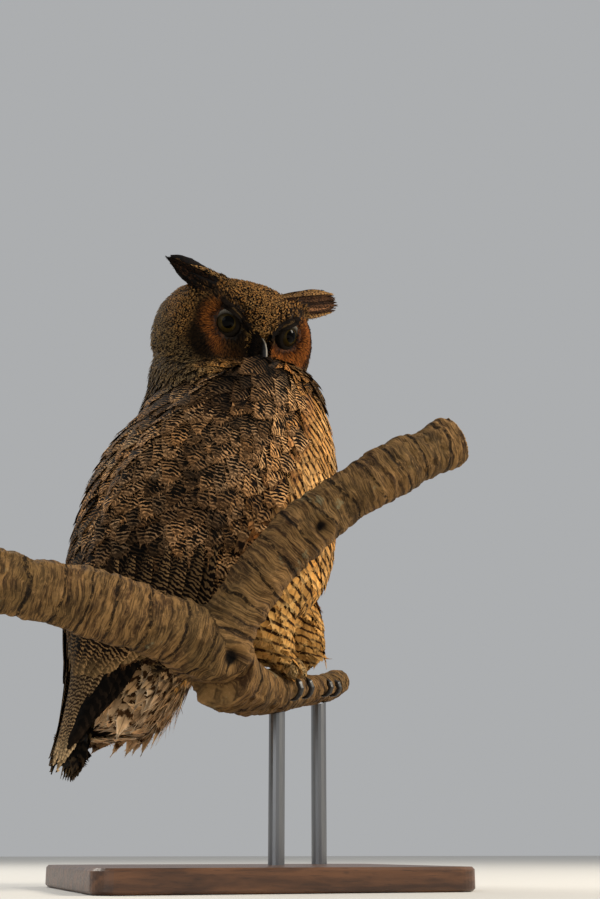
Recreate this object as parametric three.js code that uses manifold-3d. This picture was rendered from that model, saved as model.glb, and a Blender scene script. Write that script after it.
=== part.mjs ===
// A great horned owl perched on a forked limb, life size, as a museum model on a display stand.
//
// Lengths are millimetres and +Z is up. The owl's trunk faces -Y, so its right side is -X, and
// its head is turned to its right. The owl and the limb are shaped about one point, on top of
// the limb midway between the feet, and are then lifted onto the stand. The part's origin is
// the middle of the stand's underside.

import * as THREE from 'three';
import { mergeVertices } from 'three/addons/utils/BufferGeometryUtils.js';
import Module from 'manifold-3d';

const wasm = await Module();
wasm.setup();

// ---------------------------------------------------------------- driving dimensions

const GAP = 0.35; // clearance between neighbouring pieces

const BASE = { length: 300, width: 260, thickness: 18, corner: 16, bevel: 2 };
const ROD_RADIUS = 7;
const FEET = { x: 34, y: -48, z: 183 }; // the point between the feet, in the part's frame

const HEAD = {
  centre: [-8, 58, 319],
  turn: -76, // degrees about +Z, to the owl's right
  nod: 22, // degrees, face down
  roll: -0.5, // degrees about the face's own forward axis
  halfWidth: 75,
  front: 58,
  back: 82,
  crown: 49,
  throat: 66,
  squareness: 2.35,
  flare: 0.0024, // per mm: how the head broadens downwards
};
const FACE = {
  forward: 50, // from the head's centre to the plane of the face
  bowlDepth: 9,
  bowlRadius: 24,
  browRise: 10,
  browAtBill: 6,
  browSlope: 0.72,
  rimRadius: 45,
  rimRise: 3,
};
const EYE = { spacing: 30, height: 4.5, depth: 30, radius: 15.5, bulge: 2.6, splay: 13 };
const BILL = { width: 15, height: 20, reach: 15, drop: 31 };
const TUFT = {
  width: 31,
  thickness: 12,
  sweep: 26,
  right: { length: 58, rise: 22, root: 30 },
  left: { length: 70, rise: 13, root: 34 },
};

const TOE = { radius: 8.5, reach: 74, splay: 15 };
const CLAW = { radius: 4.2, sweep: 46 };
const FOOT_SPREAD = 40; // from the middle to each foot, along the limb
const NECK_CUT = { height: 248, tilt: 9 }; // where the neck leaves the trunk; tilt in degrees

// ---------------------------------------------------------------- helpers

const degrees = THREE.MathUtils.degToRad;
const bell = (distance, width) => Math.exp(-((distance / width) ** 2));
const rounded = (value, power) => Math.sign(value) * Math.abs(value) ** (2 / power);
const vector = (values) => new THREE.Vector3(...values);

// A smooth table: rows of [key, value, value ...] become a function of the key.
function smoothTable(rows) {
  const width = rows[0].length - 1;
  const keys = rows.map((row) => row[0]);
  const values = rows.flatMap((row) => row.slice(1));
  const curve = new THREE.CubicInterpolant(keys, values, width);
  return (key) => Array.from(curve.evaluate(THREE.MathUtils.clamp(key, keys[0], keys.at(-1))));
}

// A closed skin: a sphere's grid, with each point put where place(round, along) says. round
// goes once about the form and along goes from its first pole to its last, both from 0 to 1.
function moulded(columns, rows, place) {
  const form = new THREE.SphereGeometry(1, columns, rows);
  const { position, uv } = form.attributes;
  for (let i = 0; i < position.count; i += 1) {
    const along = Math.round((1 - uv.getY(i)) * rows) / rows;
    const round = (Math.round(uv.getX(i) * columns) % columns) / columns;
    const atPole = along === 0 || along === 1;
    position.setXYZ(i, ...place(atPole ? 0 : round, along));
  }
  return facingOut(form);
}

// Keeps only the shared corners of a geometry, with its faces turned outwards.
function facingOut(geometry) {
  const bare = geometry.clone();
  bare.deleteAttribute('normal');
  bare.deleteAttribute('uv');
  const merged = mergeVertices(bare, 1e-3);
  const corners = merged.index.array;
  const [a, b, c] = [new THREE.Vector3(), new THREE.Vector3(), new THREE.Vector3()];
  const kept = [];
  let volume = 0;
  for (let i = 0; i < corners.length; i += 3) {
    const [p, q, r] = corners.slice(i, i + 3);
    if (p === q || q === r || r === p) continue;
    kept.push(p, q, r);
    a.fromBufferAttribute(merged.attributes.position, p);
    b.fromBufferAttribute(merged.attributes.position, q);
    c.fromBufferAttribute(merged.attributes.position, r);
    volume += a.dot(b.cross(c));
  }
  if (volume < 0) kept.reverse();
  merged.setIndex(kept);
  return merged;
}

const solidOf = (geometry) =>
  new wasm.Manifold(
    new wasm.Mesh({
      numProp: 3,
      vertProperties: new Float32Array(geometry.attributes.position.array),
      triVerts: new Uint32Array(geometry.index.array),
    }),
  );

function geometryOf(solid) {
  const { vertProperties, triVerts, numProp } = solid.getMesh();
  const geometry = new THREE.BufferGeometry();
  const points = [];
  for (let i = 0; i < vertProperties.length; i += numProp) {
    points.push(...vertProperties.slice(i, i + 3));
  }
  geometry.setAttribute('position', new THREE.Float32BufferAttribute(points, 3));
  geometry.setIndex([...triVerts]);
  return geometry;
}

// The largest body of a solid, so that no sliver is left beside it after a cut.
const mainBody = (solid) =>
  solid.decompose().reduce((best, body) => (body.volume() > best.volume() ? body : best));

// A copy with every corner moved out along its normal.
function swollen(geometry, amount = GAP) {
  const copy = geometry.clone();
  copy.computeVertexNormals();
  const { position, normal } = copy.attributes;
  for (let i = 0; i < position.count; i += 1) {
    position.setXYZ(
      i,
      position.getX(i) + normal.getX(i) * amount,
      position.getY(i) + normal.getY(i) * amount,
      position.getZ(i) + normal.getZ(i) * amount,
    );
  }
  copy.deleteAttribute('normal');
  return copy;
}

// A piece with its neighbours cut away, a clear gap all round them.
function fitted(geometry, ...neighbours) {
  const cut = neighbours.reduce(
    (solid, neighbour) => solid.subtract(solidOf(swollen(neighbour))),
    solidOf(geometry),
  );
  return geometryOf(mainBody(cut));
}

const joined = (...geometries) =>
  geometryOf(geometries.map(solidOf).reduce((whole, solid) => whole.add(solid)));

// A tapering tube along a curve. size(along) gives the half width and half height of its
// section; the height lies as near as it can to the direction "up".
function tapered(curve, size, { columns = 12, rows = 12, up = [0, 0, 1], flatEnds = false } = {}) {
  const upward = vector(up);
  return moulded(columns, rows, (round, along) => {
    const inner = flatEnds ? (along * rows - 1) / (rows - 2) : along;
    const t = THREE.MathUtils.clamp(inner, 0, 1);
    const centre = curve.getPoint(t);
    if (along === 0 || along === 1) return centre;
    const ahead = curve.getTangent(t);
    const side = new THREE.Vector3().crossVectors(ahead, upward).normalize();
    const above = new THREE.Vector3().crossVectors(side, ahead);
    const [halfWidth, halfHeight] = size(t, round);
    const angle = 2 * Math.PI * round;
    return centre
      .addScaledVector(side, halfWidth * Math.cos(angle))
      .addScaledVector(above, halfHeight * Math.sin(angle));
  });
}

// Spaces rows closer together towards both poles.
const eased = (along) => THREE.MathUtils.lerp(along, (1 - Math.cos(Math.PI * along)) / 2, 0.7);

// A dome's outline from a pole: 0 at the pole, 1 once "share" of the way is behind it.
const domed = (along, share) => Math.sqrt(1 - (1 - Math.min(1, along / share)) ** 2);

// ---------------------------------------------------------------- trunk and neck

// Level sections of the body from the undertail plumage to the throat:
// [height, foremost y, hindmost y, half width].
const BODY_SECTIONS = smoothTable([
  [-102, 152, 172, 10],
  [-88, 140, 180, 20],
  [-66, 126, 186, 32],
  [-44, 112, 190, 42],
  [-20, 96, 194, 52],
  [6, 66, 198, 66],
  [26, 32, 202, 76],
  [48, -8, 205, 84],
  [72, -30, 206, 90],
  [108, -38, 203, 94],
  [151, -40, 193, 96],
  [190, -39, 177, 94],
  [208, -37, 165, 92],
  [226, -33, 150, 89],
  [240, -29, 140, 86],
  [258, -30, 143, 85],
  [276, -38, 148, 85],
  [294, -50, 145, 80],
]);
const BODY_FOOT = -102;
const BODY_TOP = 294;
const MANTLE_DROP = 24; // how much lower the right shoulder's edge is at the back than in front
const NAPE_RISE = 22; // how much higher the neck reaches at the nape than at the throat

// A point on a level section. bearing is in degrees: 0 the breast, 90 the right side, 180 the
// back. lift moves it outwards.
function onSection([front, back, halfWidth], height, bearing, lift = 0, squareness = 2.2) {
  const angle = degrees(bearing);
  const middle = (front + back) / 2;
  const halfDepth = (back - front) / 2;
  return [
    -(halfWidth + lift) * rounded(Math.sin(angle), squareness),
    middle - (halfDepth + lift) * rounded(Math.cos(angle), squareness),
    height,
  ];
}

// The trunk and neck in one, from tail to throat.
function bodyForm() {
  const [columns, rows] = [22, 20];
  return moulded(columns, rows, (round, along) => {
    const height = THREE.MathUtils.lerp(BODY_FOOT, BODY_TOP, eased(along));
    const [front, back, halfWidth] = BODY_SECTIONS(height);
    const share = domed(eased(along), 0.06) * domed(1 - eased(along), 0.13);
    const [middle, halfDepth] = [(front + back) / 2, (back - front) / 2];
    const section = [middle - halfDepth * share, middle + halfDepth * share, halfWidth * share];
    const [x, y, z] = onSection(section, height, 360 * round);
    const isShoulder = THREE.MathUtils.smoothstep(height, BODY_TOP - 80, BODY_TOP - 10);
    const atRight = Math.max(0, -x) / halfWidth;
    const behind = Math.max(0, y - middle + halfDepth / 2) / halfDepth;
    const rise = NAPE_RISE * (1 - atRight) - MANTLE_DROP * atRight;
    return [x, y, z + rise * isShoulder * behind];
  });
}

// One side of the plane between trunk and neck, as a block. It is higher on the owl's right,
// where the throat meets the shoulder, and lower on its left, where the nape is drawn out.
function neckBlock(isAbove) {
  const block = new THREE.BoxGeometry(400, 400, 300);
  block.translate(0, 0, isAbove ? 150 + GAP : -150);
  block.rotateY(degrees(NECK_CUT.tilt));
  block.translate(0, HEAD.centre[1], NECK_CUT.height);
  return facingOut(block);
}

// ---------------------------------------------------------------- wings and tail

// The form that the folded wings wrap: the trunk above, and the tail's width below.
const WRAP_SECTIONS = smoothTable([
  [-94, 178, 209, 26],
  [-70, 142, 205, 40],
  [-38, 112, 198, 52],
  [-4, 78, 194, 66],
  [30, 20, 200, 80],
  [50, -10, 205, 85],
  [72, -30, 206, 90],
  [108, -38, 203, 94],
  [151, -40, 193, 96],
  [190, -39, 177, 94],
  [208, -37, 165, 92],
  [226, -33, 150, 89],
  [248, -27, 139, 85],
  [272, -22, 134, 76],
]);

// A folded wing from its tip to the shoulder: [height, bearing of the front edge, bearing of
// the rear edge, thickness, lift of the outer face above the body].
const WING_SECTIONS = smoothTable([
  [-94, 136, 166, 3, 1],
  [-70, 128, 168, 4, 2],
  [-38, 124, 168, 6, 3],
  [-14, 112, 168, 9, 4],
  [-4, 98, 166, 10, 4],
  [30, 92, 164, 13, 5],
  [72, 94, 158, 14, 6],
  [108, 90, 152, 15, 6],
  [151, 82, 146, 16, 6],
  [190, 77, 140, 16, 5],
  [221, 72, 130, 14, 4],
  [248, 67, 117, 11, 3],
  [270, 64, 96, 6, 2],
]);
const WING_TIP = -94;
const WING_TOP = 274;
const WING_EDGE = 3; // thickness at the wing's edges

// side is 1 for the right wing and -1 for the left.
function wingForm(side) {
  const [columns, rows] = [16, 15];
  const half = columns / 2;
  return moulded(columns, rows, (round, along) => {
    const height = THREE.MathUtils.lerp(WING_TIP, WING_TOP, eased(along));
    const [frontEdge, rearEdge, thickness, lift] = WING_SECTIONS(height);
    // The section is a lens: the outer face for the first half turn, then the inner face.
    const place = Math.round(round * columns);
    const isOuter = place < half;
    const across = isOuter ? place / (half - 1) : 1 - (place - half) / (half - 1);
    const ends = domed(eased(along), 0.05) * domed(1 - eased(along), 0.07);
    const middleEdge = (frontEdge + rearEdge) / 2;
    const bearing = middleEdge + (rearEdge - frontEdge) * (across - 0.5) * ends;
    const plump = Math.sqrt(Math.max(0, 1 - (2 * across - 1) ** 4));
    const outer = (WING_EDGE / 2 + lift * plump) * ends;
    const inner = outer - (WING_EDGE + thickness * plump) * ends;
    const lifted = isOuter ? outer : inner;
    const [x, y, z] = onSection(WRAP_SECTIONS(height), height, bearing, lifted);
    return [x * side, y, z];
  });
}

// The closed tail: [height, y of its middle, half width, half thickness].
const TAIL = { twist: -6, bend: 14, top: 62, tip: -98 };
const TAIL_SECTIONS = smoothTable([
  [-98, 199, 35, 3],
  [-76, 197, 38, 4],
  [-38, 190, 40, 5],
  [-2, 182, 37, 7],
  [32, 176, 33, 9],
  [62, 168, 28, 10],
]);

// The tail's vanes bend forwards at both sides, so that it closes round the undertail.
function tailForm() {
  const [columns, rows] = [16, 14];
  return moulded(columns, rows, (round, along) => {
    const height = THREE.MathUtils.lerp(TAIL.tip, TAIL.top, along);
    const [middle, halfWidth, halfDepth] = TAIL_SECTIONS(height);
    const share = domed(along, 0.08) * domed(1 - along, 0.2);
    const angle = 2 * Math.PI * round;
    const across = halfWidth * share * rounded(Math.cos(angle), 3);
    const bend = TAIL.bend * (across / halfWidth) ** 2;
    const through = halfDepth * share * rounded(Math.sin(angle), 3) - bend;
    const twist = degrees(TAIL.twist);
    return [
      across * Math.cos(twist) - through * Math.sin(twist),
      middle + across * Math.sin(twist) + through * Math.cos(twist),
      height,
    ];
  });
}

// ---------------------------------------------------------------- head, in its own frame
//
// The head's frame has its centre at the origin, -Y forward and +X to the owl's left.

// How far forward the face reaches at a place on it.
function faceReach(x, z) {
  const aside = Math.abs(x);
  const fromEye = Math.hypot(aside - EYE.spacing, z - EYE.height);
  const bowl = FACE.bowlDepth * bell(fromEye, FACE.bowlRadius);
  const rim = FACE.rimRise * bell(fromEye - FACE.rimRadius, 8) * (aside > EYE.spacing ? 1 : 0.4);
  const browHalf = FACE.browAtBill + Math.max(0, z + 10) * FACE.browSlope;
  const brow = FACE.browRise / (1 + Math.exp((aside - browHalf) / 2.2));
  const browFade = 1 / (1 + Math.exp(-(z + 14) / 5));
  return FACE.forward - bowl + rim + brow * browFade;
}

function headForm() {
  const [columns, rows] = [28, 20];
  const blend = 0.3; // per mm: how sharply the skull's round meets the face
  return moulded(columns, rows, (round, along) => {
    const [turn, tilt] = [2 * Math.PI * round, Math.PI * along];
    const toward = [
      Math.sin(tilt) * Math.sin(turn),
      Math.cos(tilt),
      Math.sin(tilt) * Math.cos(turn),
    ];
    const reach = [
      HEAD.halfWidth,
      toward[1] < 0 ? HEAD.front : HEAD.back,
      toward[2] > 0 ? HEAD.crown : HEAD.throat,
    ];
    const size = toward.reduce(
      (sum, part, axis) => sum + (Math.abs(part) / reach[axis]) ** HEAD.squareness,
      0,
    ) ** (-1 / HEAD.squareness);
    const [, y, z] = toward.map((part) => part * size);
    const x = toward[0] * size * (1 - HEAD.flare * z);
    if (y >= 0) return [x, y, z];
    const limit = faceReach(x, z);
    const forward = -Math.log(Math.exp(blend * y) + Math.exp(-blend * limit)) / blend;
    const middle = Math.log(1 + Math.exp(-blend * limit)) / blend; // keeps y = 0 in its place
    return [x, -(forward + middle), z];
  });
}

// A lens-fronted ball: the eyeball with its cornea, facing -Y before it is splayed.
function eyeForm(side) {
  const profile = [];
  const steps = 10;
  for (let i = 0; i <= steps; i += 1) {
    const angle = (Math.PI * i) / steps;
    const cornea = EYE.bulge * bell(angle, 0.62);
    const reach = EYE.radius + cornea;
    const radius = i === 0 || i === steps ? 0 : reach * Math.sin(angle);
    profile.push(new THREE.Vector2(radius, -reach * Math.cos(angle)));
  }
  const ball = new THREE.LatheGeometry(profile, 14);
  ball.rotateZ(degrees(side * EYE.splay));
  ball.translate(side * EYE.spacing, -EYE.depth, EYE.height);
  return facingOut(ball);
}

function billForm() {
  const base = -FACE.forward + 2;
  const ridge = new THREE.CatmullRomCurve3([
    new THREE.Vector3(0, base + 8, -9),
    new THREE.Vector3(0, base - BILL.reach * 0.55, -9 - BILL.drop * 0.18),
    new THREE.Vector3(0, base - BILL.reach, -9 - BILL.drop * 0.58),
    new THREE.Vector3(0, base - BILL.reach * 0.72, -9 - BILL.drop),
  ]);
  const size = (t) => {
    const taper = Math.sqrt(Math.max(0.004, 1 - t ** 1.5)) * domed(t + 0.08, 0.3);
    return [(BILL.width / 2) * taper, (BILL.height / 2) * taper];
  };
  return tapered(ridge, size, { columns: 10, rows: 9, up: [0, -0.9, 0.43] });
}

// An ear tuft: a flattened horn of feathers, rising outwards from the brow and swept back.
function tuftForm(side) {
  const { length, rise, root: height } = side < 0 ? TUFT.right : TUFT.left;
  const [up, back] = [degrees(rise), degrees(TUFT.sweep)];
  const along = vector([side * Math.cos(up), Math.sin(back), Math.sin(up)]).normalize();
  const root = vector([side * 30, -32, height]);
  const curve = new THREE.CatmullRomCurve3([
    root,
    root.clone().addScaledVector(along, length * 0.45).add(vector([0, 0, -1.5])),
    root.clone().addScaledVector(along, length * 0.8).add(vector([0, 0.5, 0])),
    root.clone().addScaledVector(along, length * 1.15).add(vector([0, 3, 3])),
  ]);
  const size = (t) => {
    const outline = domed(t + 0.25, 0.45) * Math.sqrt(Math.max(0.0025, 1 - t ** 3));
    return [(TUFT.thickness / 2) * outline, (TUFT.width / 2) * outline];
  };
  return tapered(curve, size, { columns: 8, rows: 9, up: [0, 0, 1] });
}

// ---------------------------------------------------------------- limb, legs and feet

// The limb's arms, as the middle line of each from the fork outwards.
const FORK = [-112, 100, 0];
const ARMS = {
  stem: {
    points: [FORK, [-122, 150, 16], [-124, 215, 32], [-130, 285, 42]],
    radius: (t) => 28 - 3.5 * t + 1.6 * Math.sin(14 * t),
  },
  upper: {
    points: [FORK, [-126, 72, 52], [-144, 26, 106], [-156, -38, 150], [-160, -94, 180]],
    radius: (t) => 24 - 2.5 * t + 1.2 * Math.sin(19 * t),
  },
  lower: {
    points: [[-100, 92, -16], [-54, 50, -25], [0, 0, -16], [54, -44, -8], [100, -80, 6]],
    radius: (t) => 13 + 17 * (1 - t) ** 2.4 + 0.5 * Math.sin(17 * t),
  },
};

const armCurve = ({ points }) => new THREE.CatmullRomCurve3(points.map(vector));

function perchForm() {
  const arms = Object.values(ARMS).map((arm) => {
    const size = (t) => [arm.radius(t), arm.radius(t)];
    const cut = { columns: 11, rows: 12, up: [0, 0, 1], flatEnds: true };
    return tapered(armCurve(arm), size, cut);
  });
  const knot = new THREE.SphereGeometry(29, 10, 7);
  knot.scale(1, 1.1, 0.95);
  knot.translate(...FORK);
  return joined(facingOut(knot), ...arms);
}

// Where the feet stand on the lower arm, and its direction there.
const LIMB_LINE = armCurve(ARMS.lower);
const FEET_AT = 0.52; // along the lower arm

function limbPlace(distance) {
  const t = FEET_AT + distance / LIMB_LINE.getLength();
  const centre = LIMB_LINE.getPointAt(t);
  const ahead = LIMB_LINE.getTangentAt(t);
  const across = new THREE.Vector3().crossVectors(ahead, new THREE.Vector3(0, 0, 1)).normalize();
  const above = new THREE.Vector3().crossVectors(across, ahead);
  return { centre, ahead, across: across.negate(), above, radius: ARMS.lower.radius(t) };
}

// A point over the limb: wrap is the angle down from its top in degrees, forwards if positive.
function overLimb(foot, sideways, wrap, height) {
  const { centre, across, above, radius } = limbPlace(foot + sideways);
  const reach = radius + height;
  const angle = degrees(wrap);
  return centre
    .clone()
    .addScaledVector(above, reach * Math.cos(angle))
    .addScaledVector(across, reach * Math.sin(angle));
}

// Four toes to a foot, two forwards and two back: [sideways splay, 1 forwards or -1 back].
const TOES = [
  [-1, 1],
  [0.55, 1],
  [1, -1],
  [-0.55, -1],
];

function toeForm(foot, [splay, way]) {
  const curve = new THREE.CatmullRomCurve3([
    overLimb(foot, 0, 4 * way, TOE.radius + 2),
    overLimb(foot, splay * TOE.splay * 0.55, 30 * way, TOE.radius + 2.4),
    overLimb(foot, splay * TOE.splay, TOE.reach * way, TOE.radius + 0.6),
  ]);
  const size = (t) => {
    const radius = TOE.radius * (1 - 0.22 * t) * domed(1 - t, 0.16) + 0.4;
    return [radius, radius];
  };
  return tapered(curve, size, { columns: 7, rows: 6, up: limbPlace(foot).ahead.toArray() });
}

function clawForm(foot, [splay, way]) {
  const start = TOE.reach - 8;
  const aside = splay * TOE.splay;
  const curve = new THREE.CatmullRomCurve3([
    overLimb(foot, aside, start * way, TOE.radius + 1),
    overLimb(foot, aside * 1.06, (start + CLAW.sweep * 0.45) * way, TOE.radius + 3.5),
    overLimb(foot, aside * 1.1, (start + CLAW.sweep * 0.8) * way, TOE.radius * 0.8 + 1),
    overLimb(foot, aside * 1.12, (start + CLAW.sweep) * way, 1.4),
  ]);
  const size = (t) => {
    const radius = CLAW.radius * Math.sqrt(Math.max(0.01, 1 - t)) * domed(t + 0.2, 0.4);
    return [radius * 0.85, radius];
  };
  return tapered(curve, size, { columns: 6, rows: 6, up: limbPlace(foot).ahead.toArray() });
}

function legForm(foot) {
  const ankle = overLimb(foot, 0, 0, 5);
  const side = Math.sign(ankle.x);
  const curve = new THREE.CatmullRomCurve3([
    ankle,
    ankle.clone().add(vector([side * 4, 8, 28])),
    ankle.clone().add(vector([side * 8, 26, 70])),
  ]);
  const size = (t) => {
    const radius = (19 + 18 * t) * domed(t + 0.05, 0.2) * domed(1 - t, 0.25) + 0.5;
    return [radius * 0.9, radius];
  };
  return tapered(curve, size, { columns: 10, rows: 7, up: [0, 1, 0] });
}

// ---------------------------------------------------------------- stand

function baseForm() {
  const { length, width, thickness, corner, bevel } = BASE;
  const [halfX, halfY] = [width / 2 - bevel, length / 2 - bevel];
  const outline = new THREE.Shape();
  outline.moveTo(-halfX + corner, -halfY);
  outline.absarc(halfX - corner, -halfY + corner, corner, -Math.PI / 2, 0);
  outline.absarc(halfX - corner, halfY - corner, corner, 0, Math.PI / 2);
  outline.absarc(-halfX + corner, halfY - corner, corner, Math.PI / 2, Math.PI);
  outline.absarc(-halfX + corner, -halfY + corner, corner, Math.PI, 1.5 * Math.PI);
  const slab = new THREE.ExtrudeGeometry(outline, {
    depth: thickness - 2 * bevel,
    bevelSize: bevel,
    bevelThickness: bevel,
    bevelSegments: 1,
    curveSegments: 4,
  });
  slab.translate(0, 0, bevel);
  return facingOut(slab);
}

// A rod from the stand's base up into the limb, in the part's frame.
function rodForm(x, y) {
  const height = FEET.z - BASE.thickness;
  const rod = new THREE.CylinderGeometry(ROD_RADIUS, ROD_RADIUS, height, 16);
  rod.rotateX(Math.PI / 2);
  rod.translate(x, y, BASE.thickness + height / 2);
  return facingOut(rod);
}

// ---------------------------------------------------------------- materials

const finish = (color, roughness, metalness = 0) =>
  new THREE.MeshStandardMaterial({ color, roughness, metalness });
const FINISHES = {
  mantle: finish(0x4a3a2a, 0.9),
  wing: finish(0x453626, 0.85),
  head: finish(0x4d3f2f, 0.9),
  tuft: finish(0x1c1613, 0.9),
  legs: finish(0xa5834f, 0.95),
  claw: finish(0x16130f, 0.3),
  bill: finish(0x2b2926, 0.35),
  eye: finish(0xb9931d, 0.08),
  bark: finish(0x5e4d36, 0.95),
  steel: finish(0x2c2d2f, 0.4, 0.9),
  base: finish(0x3b2a1e, 0.45),
};

// ---------------------------------------------------------------- assembly

const SIDES = { right: 1, left: -1 }; // 1 is the owl's right, towards -X

const part = new THREE.Group();
const perched = new THREE.Group(); // the owl and its limb, about the point between the feet
perched.position.set(FEET.x, FEET.y, FEET.z);
const headGroup = new THREE.Group();
headGroup.position.set(...HEAD.centre);
headGroup.rotation.set(degrees(HEAD.nod), degrees(HEAD.roll), degrees(HEAD.turn), 'ZXY');
headGroup.updateMatrix();
perched.add(headGroup);
part.add(perched);

function addMesh(group, name, geometry, material) {
  const mesh = new THREE.Mesh(geometry, material);
  mesh.name = name;
  group.add(mesh);
}

// The head's pieces keep their own frame; a copy of each is turned to cut the body with.
const inBody = (geometry) => geometry.clone().applyMatrix4(headGroup.matrix);

const perch = perchForm();
const head = headForm();
const bill = billForm();
const eyes = Object.values(SIDES).map((side) => eyeForm(-side));
const tufts = Object.values(SIDES).map((side) => tuftForm(-side));

addMesh(headGroup, 'head', fitted(head, bill, ...eyes), FINISHES.head);
addMesh(headGroup, 'bill', bill, FINISHES.bill);
Object.keys(SIDES).forEach((name, i) => {
  addMesh(headGroup, `eye_${name}`, eyes[i], FINISHES.eye);
  addMesh(headGroup, `ear_tuft_${name}`, fitted(tufts[i], head), FINISHES.tuft);
});

const headInBody = inBody(head);
const wings = Object.values(SIDES).map((side) => wingForm(side));
const [below, above] = [false, true].map((isAbove) =>
  geometryOf(solidOf(bodyForm()).intersect(solidOf(neckBlock(isAbove)))),
);
const trunk = fitted(below, headInBody, inBody(bill), ...wings, perch);
const neck = fitted(above, headInBody, inBody(bill), ...wings);
addMesh(perched, 'trunk', trunk, FINISHES.mantle);
addMesh(perched, 'neck', neck, FINISHES.head);
addMesh(perched, 'tail', fitted(tailForm(), bodyForm(), ...wings), FINISHES.wing);
Object.keys(SIDES).forEach((name, i) => {
  addMesh(perched, `wing_${name}`, fitted(wings[i], perch), FINISHES.wing);
});

// The right foot stands nearer the fork, so it is first along the lower arm.
const FOOT_PLACES = { right: -FOOT_SPREAD, left: FOOT_SPREAD };
Object.entries(FOOT_PLACES).forEach(([name, place]) => {
  const claws = TOES.map((toe) => fitted(clawForm(place, toe), perch));
  const whole = joined(...TOES.map((toe) => toeForm(place, toe)));
  const foot = fitted(whole, perch, ...TOES.map((toe) => clawForm(place, toe)));
  addMesh(perched, `foot_${name}`, fitted(foot, bodyForm()), FINISHES.legs);
  claws.forEach((claw, i) => {
    addMesh(perched, `claw_${name}_${i + 1}`, claw, FINISHES.claw);
  });
  const leg = fitted(legForm(place), whole, perch, bodyForm());
  addMesh(perched, `leg_${name}`, leg, FINISHES.legs);
});

addMesh(perched, 'perch', perch, FINISHES.bark);

addMesh(part, 'stand_base', baseForm(), FINISHES.base);
const perchInPart = perch.clone().translate(FEET.x, FEET.y, FEET.z);
const RODS = [-32, 70]; // places along the lower arm, from the point between the feet
RODS.forEach((place, i) => {
  const { centre } = limbPlace(place);
  const rod = rodForm(centre.x + FEET.x, centre.y + FEET.y);
  addMesh(part, `stand_rod_${i + 1}`, fitted(rod, perchInPart), FINISHES.steel);
});

export default part;
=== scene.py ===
"""A great horned owl as a still, life-size model on a cut length of limb and a display stand.

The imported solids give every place. One skin replaces the solids of flesh, and feathers of
solid mesh are laid over it, row upon row, along the lie of the plumage.
"""

import math
from collections import namedtuple

import bmesh
import bpy
import numpy as np
from mathutils import Matrix, Vector
from mathutils.bvhtree import BVHTree
from mathutils.kdtree import KDTree


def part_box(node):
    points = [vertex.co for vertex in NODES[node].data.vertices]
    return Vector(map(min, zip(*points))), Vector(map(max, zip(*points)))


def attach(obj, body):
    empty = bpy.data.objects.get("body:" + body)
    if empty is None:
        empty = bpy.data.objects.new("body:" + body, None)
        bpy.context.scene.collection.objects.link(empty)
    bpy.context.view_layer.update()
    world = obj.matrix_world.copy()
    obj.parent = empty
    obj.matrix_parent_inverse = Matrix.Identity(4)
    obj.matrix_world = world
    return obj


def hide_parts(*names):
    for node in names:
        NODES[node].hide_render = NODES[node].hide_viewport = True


MM = 0.001
BODY = "root"
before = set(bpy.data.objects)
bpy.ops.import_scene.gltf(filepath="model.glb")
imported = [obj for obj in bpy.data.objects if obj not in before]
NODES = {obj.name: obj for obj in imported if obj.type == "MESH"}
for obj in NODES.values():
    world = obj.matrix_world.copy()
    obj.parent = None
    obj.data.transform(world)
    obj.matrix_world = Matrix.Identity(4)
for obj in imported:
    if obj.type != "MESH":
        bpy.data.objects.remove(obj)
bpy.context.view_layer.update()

SIDES = {"right": -1, "left": 1}
FLESH = ["head", "neck", "trunk", "tail"]
FLESH += [f"{part}_{side}" for part in ("wing", "ear_tuft", "leg", "foot") for side in SIDES]


# ---------------------------------------------------------------- the owl's frames


def turned(turn, nod, roll):
    """Axes of a frame turned about Z, then nodded about X, then rolled about Y, as columns."""
    return np.array(
        Matrix.Rotation(math.radians(turn), 3, "Z")
        @ Matrix.Rotation(math.radians(nod), 3, "X")
        @ Matrix.Rotation(math.radians(roll), 3, "Y")
    )


# The head's own frame: it looks along -Y, its left is +X and its crown is +Z.
HEAD_CENTRE = np.array([26, 10, 502]) * MM
HEAD_AXES = turned(-76, 22, -0.5)
FEET_CENTRE = np.array([34, -48, 183]) * MM  # on the perch, midway between the feet

EYE_SPACING = 30 * MM  # each eye's distance from the head's middle
EYE_DEPTH = 30 * MM
EYE_HEIGHT = 4.5 * MM
EYE_RADIUS = 15.5 * MM
EYE_SPLAY = 13  # degrees outwards
CORNEA_RISE = 2.6 * MM
CORNEA_BREADTH = 0.62  # the angle off the eye's axis, in radians, at which it has mostly sunk
IRIS_RADIUS = 10 * MM
PUPIL_RADIUS = 5.8 * MM
BILL_ROOT = np.array([0, -50, -9]) * MM


def in_head(points):
    """Points of the part, in the head's frame."""
    return (np.asarray(points) - HEAD_CENTRE) @ HEAD_AXES


def from_head(points):
    """Points of the head's frame, in the part."""
    return np.asarray(points) @ HEAD_AXES.T + HEAD_CENTRE


def eye_centre(side):
    return from_head([side * EYE_SPACING, -EYE_DEPTH, EYE_HEIGHT])


def eye_axes(side):
    """The eye's frame: across, outwards along its axis, up."""
    splay = math.radians(EYE_SPLAY)
    ahead = np.array([side * math.sin(splay), -math.cos(splay), 0])
    up = np.array([0, 0, 1.0])
    return HEAD_AXES @ np.array([np.cross(ahead, up), ahead, up]).T


# ---------------------------------------------------------------- arrays and meshes


def unit(vectors):
    lengths = np.linalg.norm(vectors, axis=-1, keepdims=True)
    return vectors / np.maximum(lengths, 1e-12)


def dot(a, b):
    return np.sum(a * b, axis=-1, keepdims=True)


def smoothstep(value, low, high):
    t = np.clip((value - low) / (high - low), 0, 1)
    return t * t * (3 - 2 * t)


def bell(value, width):
    return np.exp(-((value / width) ** 2))


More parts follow.
